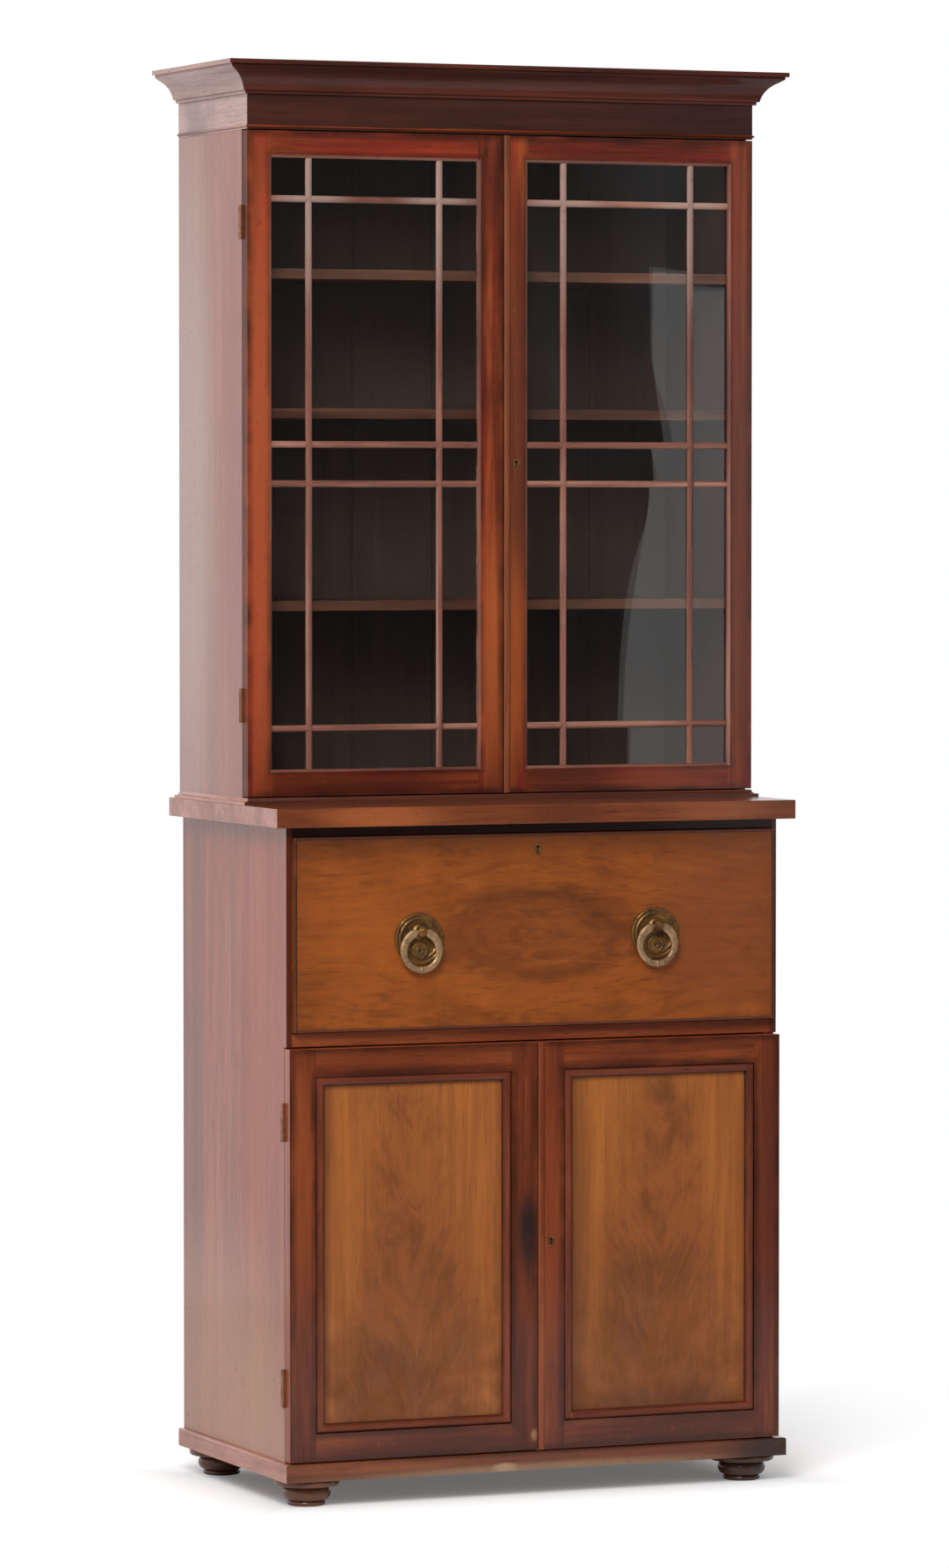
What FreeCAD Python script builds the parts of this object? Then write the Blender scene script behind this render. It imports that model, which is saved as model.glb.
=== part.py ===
import FreeCAD, Part
import os

# A secretaire bookcase: glazed bookcase on a fall-front desk drawer on a two-door cupboard.
# Millimetres. Z is up, X runs along the front, the front faces -Y.
# The origin is on the floor, midway across the width and midway through the overall depth.
# Depths are counted forward from the back plane of the lower cabinet.

Vector = FreeCAD.Vector
X_AXIS = Vector(1, 0, 0)
Y_AXIS = Vector(0, 1, 0)
Z_AXIS = Vector(0, 0, 1)
ORIGIN = Vector(0, 0, 0)
RIGHT_ANGLE = 90

# Overall sizes
lower_width = 840.0
lower_depth = 453.0
bookcase_extra_width = 30.0
bookcase_back_inset = 26.0
bookcase_depth = 286.0
foot_height = 42.0
plinth_height = 28.0
cupboard_height = 650.0
drawer_space_height = 307.0
bookcase_height = 1059.0
frieze_height = 55.0
cornice_height = 51.0

# Board thicknesses and shared clearances
side_thickness = 18.0
back_thickness = 10.0
floor_thickness = 18.0
shelf_thickness = 16.0
top_board_thickness = 30.0
divider_thickness = 22.0
rail_thickness = 14.0
door_thickness = 22.0
door_gap = 1.5
reveal = 2.0
meeting_gap = 2.0
running_clearance = 0.5
slide_gap = 0.3
pin_clearance = 0.05
cut_overrun = 5.0

# Lower cabinet
edge_strip_width = 9.0
edge_strip_depth = 10.0
divider_nose_depth = 7.0
top_board_side_overhang = 24.0
top_board_front_overhang = 32.0
cupboard_shelf_share = 0.45
cupboard_shelf_setback = 60.0

# Plinth and feet
plinth_side_projection = 9.0
plinth_front_projection = 32.0
plinth_backing = 14.0
plinth_cove_share = 0.6
foot_inset = 54.0
foot_disc_radius = 52.0
foot_disc_height = 10.0
foot_bun_radius = 38.0
foot_bun_height = 24.0
foot_neck_radius = 27.0
foot_pad_radius = 30.0
foot_dowel_radius = 11.0
foot_dowel_length = 26.0
foot_block_side = 70.0

# Bookcase
base_moulding_height = 11.0
base_moulding_projection = 9.0
base_fillet_share = 0.45
shelf_height_shares = (0.279, 0.576, 0.791)
shelf_setback = 24.0
shelf_groove_depth = 6.0

# Frieze and cornice
frieze_thickness = 20.0
cornice_projection = 45.0
cornice_backing = 10.0
cornice_neck_height = 5.0
cornice_neck_projection = 5.0
cornice_cove_height = 30.0
cornice_cove_start = 9.0
cornice_cove_end = 32.0
cornice_cap_height = 7.0
cornice_step_height = 5.0
dust_board_thickness = 8.0

# Glazed doors
glazed_stile_width = 42.0
glazed_lip_width = 6.0
glazed_lip_depth = 9.0
glazed_lip_chamfer = 4.0
glazing_margin = 64.0
glazing_middle_band = 62.0
bar_radius = 5.5
bar_fin_width = 4.0
bar_fin_depth = 6.0
pane_thickness = 2.2
pane_clearance = 0.4

# Cupboard doors
cupboard_stile_width = 44.0
panel_moulding_width = 15.0
panel_moulding_proud = 2.0
panel_thickness = 8.0
panel_recess = 7.0
panel_tongue = 6.0

# Meeting beads, hinges and locks
meeting_bead_width = 11.0
meeting_bead_proud = 3.0
hinge_knuckle_radius = 3.0
hinge_pin_radius = 1.4
hinge_leaf_thickness = 1.5
hinge_leaf_reach = 13.0
hinge_side_gap = 0.3
glazed_hinge_length = 54.0
glazed_hinge_inset = 143.0
cupboard_hinge_length = 60.0
cupboard_hinge_inset = 115.0
leaf_gap = 0.2
knuckle_gap = 0.3
lock_width = 34.0
lock_height = 46.0
lock_depth = 10.0
lock_bolt_height = 16.0
lock_bolt_length = 20.0
lock_bolt_throw = 7.0
lock_bolt_wall = 2.0
keyhole_radius = 2.4
keyhole_slot_width = 2.2
keyhole_slot_drop = 9.0
escutcheon_radius = 6.0
escutcheon_drop = 9.0
escutcheon_thickness = 1.0
glazed_lock_rise = 4.0
cupboard_lock_rise = 10.0
lock_from_edge = 22.0

# Desk drawer
drawer_side_thickness = 12.0
drawer_back_thickness = 10.0
drawer_rear_room = 12.0
drawer_top_room = 28.0
fall_thickness = 20.0
fall_seat_gap = 1.2
fall_edge_gap = 1.5
fall_axis_from_face = 8.0
fall_axis_from_bottom = 4.0
cock_bead_width = 4.0
cock_bead_proud = 2.0
pivot_arm_thickness = 3.0
pivot_arm_half_height = 3.4
pivot_arm_reach = 45.0
pivot_pin_radius = 2.0
pivot_pin_length = 15.0
quadrant_radius = 155.0
quadrant_band = 9.0
quadrant_thickness = 2.5
quadrant_tail_rise = 6.0
leather_margin = 34.0
leather_depth = 1.6
leather_recess = 1.2

# Pigeonholes and letter drawers
writing_space_depth = 202.0
nest_board_thickness = 7.0
letter_drawer_height = 62.0
letter_drawer_count = 2
pigeonhole_count = 6
letter_drawer_wall = 6.0
letter_drawer_base = 4.0
knob_radius = 7.0
knob_stem_radius = 3.0
knob_stem_length = 7.0

# Ring handles
handle_spacing = 404.0
handle_drop = 10.5
handle_plate_radius = 41.0
handle_plate_thickness = 3.0
handle_rim_width = 4.0
handle_rim_proud = 2.0
handle_dome_radius = 22.0
handle_dome_height = 4.0
ring_wire_radius = 3.6
ring_radius = 30.0
ring_pivot_rise = 12.0
ring_standoff = 8.5
lug_radius = 9.5
lug_width = 12.0
lug_bore_play = 1.4

# Places worked out from the sizes above
half_lower = lower_width / 2
half_bookcase = (lower_width + bookcase_extra_width) / 2
plinth_top = foot_height + plinth_height
divider_underside = plinth_top + cupboard_height
divider_top_height = divider_underside + divider_thickness
drawer_rail_underside = divider_top_height + drawer_space_height
top_board_underside = drawer_rail_underside + rail_thickness
top_board_top = top_board_underside + top_board_thickness
frieze_underside = top_board_top + bookcase_height
cornice_underside = frieze_underside + frieze_height
overall_height = cornice_underside + cornice_height
fall_back_depth = lower_depth + fall_seat_gap
fall_face_depth = fall_back_depth + fall_thickness
overall_depth = fall_face_depth + handle_plate_thickness + ring_standoff + lug_radius
back_plane = overall_depth / 2
bookcase_front_depth = bookcase_back_inset + bookcase_depth
glazed_back_depth = bookcase_front_depth + door_gap
glazed_face_depth = glazed_back_depth + door_thickness
cupboard_back_depth = lower_depth + door_gap
cupboard_face_depth = cupboard_back_depth + door_thickness
lower_inside = half_lower - side_thickness
bookcase_inside = half_bookcase - side_thickness
bookcase_floor_underside = top_board_top
bookcase_floor_top = bookcase_floor_underside + floor_thickness
bookcase_top_underside = frieze_underside - floor_thickness
cupboard_floor_top = plinth_top + floor_thickness
cupboard_shelf_height = plinth_top + cupboard_height * cupboard_shelf_share
divider_front_depth = lower_depth + divider_nose_depth
bookcase_inner_height = bookcase_top_underside - bookcase_floor_top
shelf_heights = [bookcase_floor_top + bookcase_inner_height * share for share in shelf_height_shares]
glazed_door_bottom = top_board_top + base_moulding_height
glazed_door_top = frieze_underside - reveal
glazed_door_bottom_edge = glazed_door_bottom + reveal
cupboard_door_bottom = plinth_top + reveal
cupboard_door_top = divider_underside - reveal
glazed_lock_height = (glazed_door_bottom_edge + glazed_door_top) / 2 + glazed_lock_rise
cupboard_lock_height = (cupboard_door_bottom + cupboard_door_top) / 2 + cupboard_lock_rise

fall_bottom = divider_top_height + fall_edge_gap
fall_top = drawer_rail_underside - fall_edge_gap
fall_half_width = half_lower - edge_strip_width - running_clearance
fall_axis_depth = fall_face_depth - fall_axis_from_face
fall_axis_height = fall_bottom + fall_axis_from_bottom
drawer_floor_top = fall_axis_height + fall_thickness - fall_axis_from_face
drawer_bottom = divider_top_height + slide_gap
drawer_front_depth = lower_depth - fall_seat_gap
drawer_rear_depth = back_thickness + drawer_rear_room
drawer_half_width = lower_inside - running_clearance
drawer_inside = drawer_half_width - drawer_side_thickness
drawer_top = fall_top - drawer_top_room
nest_rear_depth = drawer_rear_depth + drawer_back_thickness
nest_half_width = drawer_inside - slide_gap
nest_front_depth = drawer_front_depth - writing_space_depth
handle_height = (fall_bottom + fall_top) / 2 - handle_drop

nodes = {}


def box(x0, x1, depth0, depth1, z0, z1):
    """A block between two places along X, two depths from the back plane and two heights."""
    corner = Vector(x0, back_plane - depth1, z0)
    return Part.makeBox(x1 - x0, depth1 - depth0, z1 - z0, corner)


def rod_x(radius, x0, x1, depth, height):
    return Part.makeCylinder(radius, x1 - x0, Vector(x0, back_plane - depth, height), X_AXIS)


def rod_y(radius, x, depth0, depth1, height):
    return Part.makeCylinder(radius, depth1 - depth0, Vector(x, back_plane - depth1, height), Y_AXIS)


def rod_z(radius, x, depth, z0, z1):
    return Part.makeCylinder(radius, z1 - z0, Vector(x, back_plane - depth, z0), Z_AXIS)


def mirrored(shape):
    """The same shape on the other side of the middle plane."""
    return shape.mirror(ORIGIN, X_AXIS)


def both_sides(shape):
    return [shape, mirrored(shape)]


def cut(shape, *tools):
    return shape.cut(Part.makeCompound(list(tools))) if tools else shape


def add(name, *solids):
    """Files one node: a single solid, or a group of separate solids."""
    nodes[name] = solids[0] if len(solids) == 1 else Part.makeCompound(list(solids))


def plane_face(points):
    """A flat face through points given in order."""
    return Part.Face(Part.makePolygon(points + [points[0]]))


def edges_to_face(edges):
    return Part.Face(Part.Wire(edges))


def line(a, b):
    return Part.LineSegment(a, b).toShape()


def arc(a, middle, b):
    return Part.Arc(a, middle, b).toShape()


def mitred_set(section, reach, backing, half_width, front_depth, rear_depth, z0, z1):
    """A front moulding and two returns, mitred at the corners.

    section(to_point) gives the closed face of the profile; to_point turns an outward distance
    and a height into a point. reach and backing are the profile's limits outward and inward.
    """
    length = half_width + reach
    front_y = back_plane - front_depth
    rear_y = back_plane - rear_depth

    front_face = section(lambda out, z: Vector(-length, front_y - out, z))
    front_bar = front_face.extrude(Vector(length + length, 0, 0))
    trapezium = plane_face([
        Vector(-half_width - reach, front_y - reach, z0),
        Vector(half_width + reach, front_y - reach, z0),
        Vector(half_width - backing, front_y + backing, z0),
        Vector(-half_width + backing, front_y + backing, z0),
    ])
    front = front_bar.common(trapezium.extrude(Vector(0, 0, z1 - z0)))

    side_face = section(lambda out, z: Vector(-half_width - out, front_y - reach, z))
    side_bar = side_face.extrude(Vector(0, rear_y - front_y + reach, 0))
    quadrilateral = plane_face([
        Vector(-half_width - reach, front_y - reach, z0),
        Vector(-half_width + backing, front_y + backing, z0),
        Vector(-half_width + backing, rear_y, z0),
        Vector(-half_width - reach, rear_y, z0),
    ])
    left = side_bar.common(quadrilateral.extrude(Vector(0, 0, z1 - z0)))
    return [front, left, mirrored(left)]


def make_lower_carcass():
    side = box(-half_lower, -lower_inside, 0, lower_depth, plinth_top, top_board_underside)
    strip = box(-half_lower, -half_lower + edge_strip_width, lower_depth - side_thickness,
                lower_depth + edge_strip_depth, divider_underside, top_board_underside)
    side = cut(side.fuse(strip).removeSplitter(), *carcass_leaf_pockets(cupboard_hinges))
    add("cupboard_sides", *both_sides(side))
    add("cupboard_floor", box(-lower_inside, lower_inside, back_thickness, lower_depth,
                              plinth_top, cupboard_floor_top))
    add("cupboard_back", box(-lower_inside, lower_inside, 0, back_thickness,
                             plinth_top, top_board_underside))
    divider = box(-lower_inside, lower_inside, back_thickness, lower_depth,
                  divider_underside, divider_top_height)
    nose = box(-half_lower + edge_strip_width, half_lower - edge_strip_width, lower_depth,
               divider_front_depth, divider_underside, divider_top_height)
    add("drawer_divider", divider.fuse(nose).removeSplitter())
    rail = box(-lower_inside, lower_inside, lower_depth - divider_thickness - divider_thickness,
               lower_depth, drawer_rail_underside, top_board_underside)
    rail_nose = box(-half_lower + edge_strip_width, half_lower - edge_strip_width, lower_depth,
                    lower_depth + edge_strip_depth, drawer_rail_underside, top_board_underside)
    rail = rail.fuse(rail_nose).removeSplitter()
    add("drawer_rail", cut(rail, fall_bolt_mortise()))
    add("top_board", box(-half_lower - top_board_side_overhang, half_lower + top_board_side_overhang,
                         0, lower_depth + top_board_front_overhang, top_board_underside, top_board_top))
    add("cupboard_shelf", box(-lower_inside, lower_inside, back_thickness,
                              lower_depth - cupboard_shelf_setback,
                              cupboard_shelf_height, cupboard_shelf_height + shelf_thickness))


def plinth_section(to_point):
    """Flat fascia with a coved top edge."""
    cove_out = plinth_side_projection * plinth_cove_share
    middle_out = (plinth_side_projection + cove_out) / 2
    cove_top = plinth_top - plinth_side_projection + cove_out
    a = to_point(-plinth_backing, foot_height)
    b = to_point(plinth_side_projection, foot_height)
    c = to_point(plinth_side_projection, cove_top)
    d = to_point(cove_out, plinth_top)
    e = to_point(-plinth_backing, plinth_top)
    bend = to_point(middle_out + (plinth_side_projection - cove_out) / 4,
                    plinth_top - (plinth_top - cove_top) / 4)
    return edges_to_face([line(a, b), line(b, c), arc(c, bend, d), line(d, e), line(e, a)])


def make_plinth_and_feet():
    front_depth = lower_depth + plinth_front_projection - plinth_side_projection
    add("plinth", *mitred_set(plinth_section, plinth_side_projection, plinth_backing, half_lower,
                              front_depth, 0, foot_height, plinth_top))
    front_foot_depth = lower_depth + plinth_front_projection - foot_inset
    places = [(side * (half_lower + plinth_side_projection - foot_inset), depth)
              for depth in (front_foot_depth, foot_inset) for side in (-1, 1)]
    add("bun_feet", *[bun_foot(x, depth) for x, depth in places])
    add("foot_blocks", *[foot_block(x, depth) for x, depth in places])


def bun_foot(x, depth):
    """A turned foot: pad, bun and disc on one axis, with a dowel into its block."""
    bun_bottom = foot_height - foot_disc_height - foot_bun_height
    bun_top = foot_height - foot_disc_height
    bun_middle = (bun_bottom + bun_top) / 2
    waist_radius = foot_disc_radius - foot_disc_height / 4
    outline = [
        line(Vector(0, 0, 0), Vector(foot_neck_radius, 0, 0)),
        arc(Vector(foot_neck_radius, 0, 0), Vector(foot_pad_radius, 0, bun_bottom / 2),
            Vector(foot_neck_radius, 0, bun_bottom)),
        arc(Vector(foot_neck_radius, 0, bun_bottom), Vector(foot_bun_radius, 0, bun_middle),
            Vector(foot_neck_radius, 0, bun_top)),
        line(Vector(foot_neck_radius, 0, bun_top), Vector(waist_radius, 0, bun_top)),
        arc(Vector(waist_radius, 0, bun_top),
            Vector(foot_disc_radius, 0, bun_top + foot_disc_height / 2),
            Vector(waist_radius, 0, foot_height)),
        line(Vector(waist_radius, 0, foot_height), Vector(0, 0, foot_height)),
        line(Vector(0, 0, foot_height), Vector(0, 0, 0)),
    ]
    foot = edges_to_face(outline).revolve(ORIGIN, Z_AXIS, RIGHT_ANGLE * 4)
    dowel = Part.makeCylinder(foot_dowel_radius, foot_dowel_length + foot_disc_height / 2,
                              Vector(0, 0, foot_height - foot_disc_height / 2))
    foot = foot.fuse(dowel).removeSplitter()
    foot.translate(Vector(x, back_plane - depth, 0))
    return foot


def foot_block(x, depth):
    """A corner block inside the plinth that takes the foot's dowel."""
    outer_x = half_lower - plinth_backing
    inner_x = outer_x - foot_block_side
    x0, x1 = (-outer_x, -inner_x) if x < 0 else (inner_x, outer_x)
    front_limit = lower_depth + plinth_front_projection - plinth_side_projection - plinth_backing
    depth0, depth1 = (0, foot_block_side + foot_inset / 2)
    if depth > lower_depth / 2:
        depth0, depth1 = (front_limit - foot_block_side, front_limit)
    block = box(x0, x1, depth0, depth1, foot_height, plinth_top)
    return cut(block, rod_z(foot_dowel_radius + pin_clearance, x, depth,
                            foot_height - cut_overrun, foot_height + foot_dowel_length + pin_clearance))


def make_bookcase():
    side = box(-half_bookcase, -bookcase_inside, bookcase_back_inset, bookcase_front_depth,
               bookcase_floor_underside, frieze_underside)
    shelf_half_width = bookcase_inside + shelf_groove_depth - running_clearance
    shelf_rear = bookcase_back_inset + back_thickness
    grooves = [box(-bookcase_inside - shelf_groove_depth, -bookcase_inside + cut_overrun, shelf_rear,
                   bookcase_front_depth - shelf_setback + running_clearance, height, height + shelf_thickness)
               for height in shelf_heights]
    side = cut(side, *carcass_leaf_pockets(glazed_hinges), *grooves)
    add("bookcase_sides", *both_sides(side))
    add("bookcase_floor", box(-bookcase_inside, bookcase_inside, bookcase_back_inset, bookcase_front_depth,
                              bookcase_floor_underside, bookcase_floor_top))
    add("bookcase_top", box(-bookcase_inside, bookcase_inside, bookcase_back_inset, bookcase_front_depth,
                            bookcase_top_underside, frieze_underside))
    add("bookcase_back", box(-bookcase_inside, bookcase_inside, bookcase_back_inset,
                             bookcase_back_inset + back_thickness, bookcase_floor_top,
                             bookcase_top_underside))
    for name, height in zip(("lower_shelf", "middle_shelf", "upper_shelf"), shelf_heights):
        add(name, box(-shelf_half_width, shelf_half_width, shelf_rear, bookcase_front_depth - shelf_setback,
                      height, height + shelf_thickness))
    front, left, right = mitred_set(base_section, base_moulding_projection, 0, half_bookcase,
                                    glazed_face_depth, bookcase_back_inset, top_board_top, glazed_door_bottom)
    filler = box(-half_bookcase, half_bookcase, bookcase_front_depth, glazed_face_depth,
                 top_board_top, glazed_door_bottom)
    add("base_moulding", front.fuse(filler).removeSplitter(), left, right)


def base_section(to_point):
    """A fillet with a cove that dies into the carcass above it."""
    fillet_top = top_board_top + base_moulding_height * base_fillet_share
    a = to_point(0, top_board_top)
    b = to_point(base_moulding_projection, top_board_top)
    c = to_point(base_moulding_projection, fillet_top)
    d = to_point(0, glazed_door_bottom)
    bend = to_point(base_moulding_projection / 4, fillet_top + (glazed_door_bottom - fillet_top) / 4)
    return edges_to_face([line(a, b), line(b, c), arc(c, bend, d), line(d, a)])


def frieze_section(to_point):
    return plane_face([to_point(-frieze_thickness, frieze_underside), to_point(0, frieze_underside),
                       to_point(0, cornice_underside), to_point(-frieze_thickness, cornice_underside)])


def cornice_section(to_point):
    """Neck bead, hollow cove, small step and square cap."""
    neck_top = cornice_underside + cornice_neck_height
    cove_top = neck_top + cornice_cove_height
    step_top = cove_top + cornice_step_height
    cap_bottom = overall_height - cornice_cap_height
    cap_start = cornice_projection - cornice_step_height
    points = [
        to_point(-cornice_backing, cornice_underside),
        to_point(cornice_neck_projection, cornice_underside),
        to_point(cornice_neck_projection, neck_top),
        to_point(cornice_cove_start, neck_top),
        to_point(cornice_cove_end, cove_top),
        to_point(cap_start, step_top),
        to_point(cap_start, cap_bottom),
        to_point(cornice_projection, cap_bottom),
        to_point(cornice_projection, overall_height),
        to_point(-cornice_backing, overall_height),
    ]
    sag = (cornice_cove_end - cornice_cove_start) / 4
    bend = to_point((cornice_cove_start + cornice_cove_end) / 2 - sag, (neck_top + cove_top) / 2)
    edges = [line(points[i], points[i + 1]) for i in range(len(points) - 1) if i != 3]
    edges.insert(3, arc(points[3], bend, points[4]))
    edges.append(line(points[-1], points[0]))
    return edges_to_face(edges)


def make_cornice():
    add("frieze", *mitred_set(frieze_section, 0, frieze_thickness, half_bookcase, glazed_face_depth,
                              bookcase_back_inset, frieze_underside, cornice_underside))
    add("cornice", *mitred_set(cornice_section, cornice_projection, cornice_backing, half_bookcase,
                               glazed_face_depth, bookcase_back_inset, cornice_underside, overall_height))
    dust_half_width = half_bookcase - cornice_backing
    add("dust_board", box(-dust_half_width, dust_half_width, bookcase_back_inset,
                          glazed_face_depth - cornice_backing, cornice_underside,
                          cornice_underside + dust_board_thickness))


class HingeRow:
    """The two butt hinges of a left-hand door, on the outside corner of its carcass."""

    def __init__(self, half_width, edge_depth, door_bottom, door_top, inset, length):
        self.axis_x = -half_width - hinge_knuckle_radius - hinge_side_gap
        self.inner_x = -half_width + hinge_leaf_reach
        self.axis_depth = edge_depth + door_gap / 2
        self.starts = (door_bottom + inset - length / 2, door_top - inset - length / 2)
        self.length = length

    def leaf(self, z0, toward_door):
        """A leaf plate on the door's side or the carcass's side of the hinge plane."""
        near = self.axis_depth + leaf_gap / 2 if toward_door else self.axis_depth - leaf_gap / 2
        far = near + hinge_leaf_thickness if toward_door else near - hinge_leaf_thickness
        return box(self.axis_x, self.inner_x, min(near, far), max(near, far), z0, z0 + self.length)

    def knuckle(self, z0, z1, radius):
        return rod_z(radius, self.axis_x, self.axis_depth, z0, z1)

    def middle(self, z0):
        third = self.length / 3
        return z0 + third, z0 + third + third

    def carcass_leaves(self):
        shapes = []
        for z0 in self.starts:
            low, high = self.middle(z0)
            plate = cut(self.leaf(z0, False),
                        self.knuckle(low - knuckle_gap, high + knuckle_gap,
                                     hinge_knuckle_radius + knuckle_gap))
            plate = plate.fuse([self.knuckle(z0, low, hinge_knuckle_radius),
                                self.knuckle(high, z0 + self.length, hinge_knuckle_radius)])
            bore = self.knuckle(z0 - cut_overrun, z0 + self.length + cut_overrun,
                                hinge_pin_radius + pin_clearance)
            shapes += [cut(plate, bore).removeSplitter(),
                       self.knuckle(z0, z0 + self.length, hinge_pin_radius)]
        return shapes

    def door_leaves(self):
        shapes = []
        for z0 in self.starts:
            low, high = self.middle(z0)
            ends = [self.knuckle(z0 - cut_overrun, low + knuckle_gap, hinge_knuckle_radius + knuckle_gap),
                    self.knuckle(high - knuckle_gap, z0 + self.length + cut_overrun,
                                 hinge_knuckle_radius + knuckle_gap)]
            plate = cut(self.leaf(z0, True), *ends)
            plate = plate.fuse(self.knuckle(low + knuckle_gap, high - knuckle_gap, hinge_knuckle_radius))
            bore = self.knuckle(z0, z0 + self.length, hinge_pin_radius + pin_clearance)
            shapes.append(cut(plate, bore).removeSplitter())
        return shapes

    def pockets(self, toward_door):
        """The shallow recesses that the leaves are let into."""
        reach = hinge_leaf_thickness + leaf_gap / 2
        depth0 = self.axis_depth if toward_door else self.axis_depth - reach
        return [box(self.axis_x, self.inner_x, depth0, depth0 + reach, z0, z0 + self.length)
                for z0 in self.starts]


glazed_hinges = HingeRow(half_bookcase, bookcase_front_depth, glazed_door_bottom_edge, glazed_door_top,
                         glazed_hinge_inset, glazed_hinge_length)
cupboard_hinges = HingeRow(half_lower, lower_depth, cupboard_door_bottom, cupboard_door_top,
                           cupboard_hinge_inset, cupboard_hinge_length)


def carcass_leaf_pockets(hinges):
    return hinges.pockets(False)


def make_hinges():
    leaves = glazed_hinges.carcass_leaves() + cupboard_hinges.carcass_leaves()
    add("hinge_carcass_leaves", *[shape for leaf in leaves for shape in both_sides(leaf)])
    for side, turn in (("left", lambda shape: shape), ("right", mirrored)):
        add(side + "_glazed_hinge_leaves", *[turn(leaf) for leaf in glazed_hinges.door_leaves()])
        add(side + "_cupboard_hinge_leaves", *[turn(leaf) for leaf in cupboard_hinges.door_leaves()])


def split_frame(frame, x0, x1, stile_width):
    """Cuts a door frame into two stiles and two rails."""
    limits = frame.BoundBox
    parts = []
    for a, b in ((x0, x0 + stile_width), (x1 - stile_width, x1), (x0 + stile_width, x1 - stile_width)):
        slab = Part.makeBox(b - a, limits.YLength, limits.ZLength, Vector(a, limits.YMin, limits.ZMin))
        parts += frame.common(slab).Solids
    return parts


def make_glazed_doors():
    x0, x1 = -half_bookcase, -meeting_gap / 2
    z0, z1 = glazed_door_bottom_edge, glazed_door_top
    inner_x0, inner_x1 = x0 + glazed_stile_width, x1 - glazed_stile_width
    inner_z0, inner_z1 = z0 + glazed_stile_width, z1 - glazed_stile_width
    frame = box(x0, x1, glazed_back_depth, glazed_face_depth, z0, z1)
    opening = box(inner_x0, inner_x1, glazed_back_depth - cut_overrun, glazed_face_depth + cut_overrun,
                  inner_z0, inner_z1)
    rebate = box(inner_x0 - glazed_lip_width, inner_x1 + glazed_lip_width,
                 glazed_back_depth - cut_overrun, glazed_face_depth - glazed_lip_depth,
                 inner_z0 - glazed_lip_width, inner_z1 + glazed_lip_width)
    frame = frame.cut(opening).cut(rebate)
    front_y = back_plane - glazed_face_depth
    lip_edges = [edge for edge in frame.Edges
                 if abs(edge.BoundBox.YMax - front_y) < pin_clearance
                 and edge.BoundBox.XMin > x0 + pin_clearance and edge.BoundBox.XMax < x1 - pin_clearance
                 and edge.BoundBox.ZMin > z0 + pin_clearance and edge.BoundBox.ZMax < z1 - pin_clearance]
    frame = frame.makeChamfer(glazed_lip_chamfer, lip_edges)
    frame = cut(frame, *glazed_hinges.pockets(True))

    bar_depth = glazed_face_depth - glazed_lip_depth
    xs = (inner_x0 + glazing_margin, inner_x1 - glazing_margin)
    middle = (inner_z0 + inner_z1) / 2
    zs = (inner_z0 + glazing_margin, middle - glazing_middle_band / 2,
          middle + glazing_middle_band / 2, inner_z1 - glazing_margin)
    bars = glazing_lattice(xs, zs, inner_x0, inner_x1, inner_z0, inner_z1, bar_depth)
    panes = glazing_panes(xs, zs, inner_x0, inner_x1, inner_z0, inner_z1, bar_depth)

    left_pieces = split_frame(frame, x0, x1, glazed_stile_width)
    right_pieces = [mirrored(piece) for piece in left_pieces]
    left_pieces[1] = cut(left_pieces[1], bolt_mortise(glazed_back_depth, glazed_lock_height))
    add("left_glazed_door_frame", *left_pieces)
    right_pieces[1] = cut(right_pieces[1], *lock_cuts(glazed_back_depth, glazed_face_depth, glazed_lock_height))
    add("right_glazed_door_frame", *right_pieces)
    add("left_glazing_bars", bars)
    add("right_glazing_bars", mirrored(bars))
    add("left_panes", *panes)
    add("right_panes", *[mirrored(pane) for pane in panes])
    make_meeting_bead("glazed_meeting_bead", glazed_face_depth, z0, z1)
    make_lock("glazed", glazed_back_depth, glazed_face_depth, glazed_lock_height)


def glazing_lattice(xs, zs, x0, x1, z0, z1, seat_depth):
    """Crossing glazing bars: a half-round nose in front of the glass and a fin between the panes."""
    noses = []
    for x in xs:
        noses.append(rod_z(bar_radius, x, seat_depth, z0, z1))
    for z in zs:
        noses.append(rod_x(bar_radius, x0, x1, seat_depth, z))
    in_front = box(x0, x1, seat_depth, seat_depth + bar_radius + cut_overrun, z0, z1)
    fin_depth = seat_depth - bar_fin_depth
    fins = [box(x - bar_fin_width / 2, x + bar_fin_width / 2, fin_depth, seat_depth, z0, z1) for x in xs]
    fins += [box(x0, x1, fin_depth, seat_depth, z - bar_fin_width / 2, z + bar_fin_width / 2) for z in zs]
    nose = noses[0].multiFuse(noses[1:]).common(in_front)
    return nose.multiFuse(fins).removeSplitter()


def glazing_panes(xs, zs, x0, x1, z0, z1, seat_depth):
    """Fifteen panes that sit behind the noses and between the fins."""
    fin = bar_fin_width / 2 + pane_clearance
    outer = glazed_lip_width - pane_clearance
    columns = [(x0 - outer, xs[0] - fin), (xs[0] + fin, xs[1] - fin), (xs[1] + fin, x1 + outer)]
    rows = [(z0 - outer, zs[0] - fin)]
    rows += [(zs[i] + fin, zs[i + 1] - fin) for i in range(len(zs) - 1)]
    rows += [(zs[-1] + fin, z1 + outer)]
    return [box(a, b, seat_depth - pane_thickness, seat_depth, c, d) for a, b in columns for c, d in rows]


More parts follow.
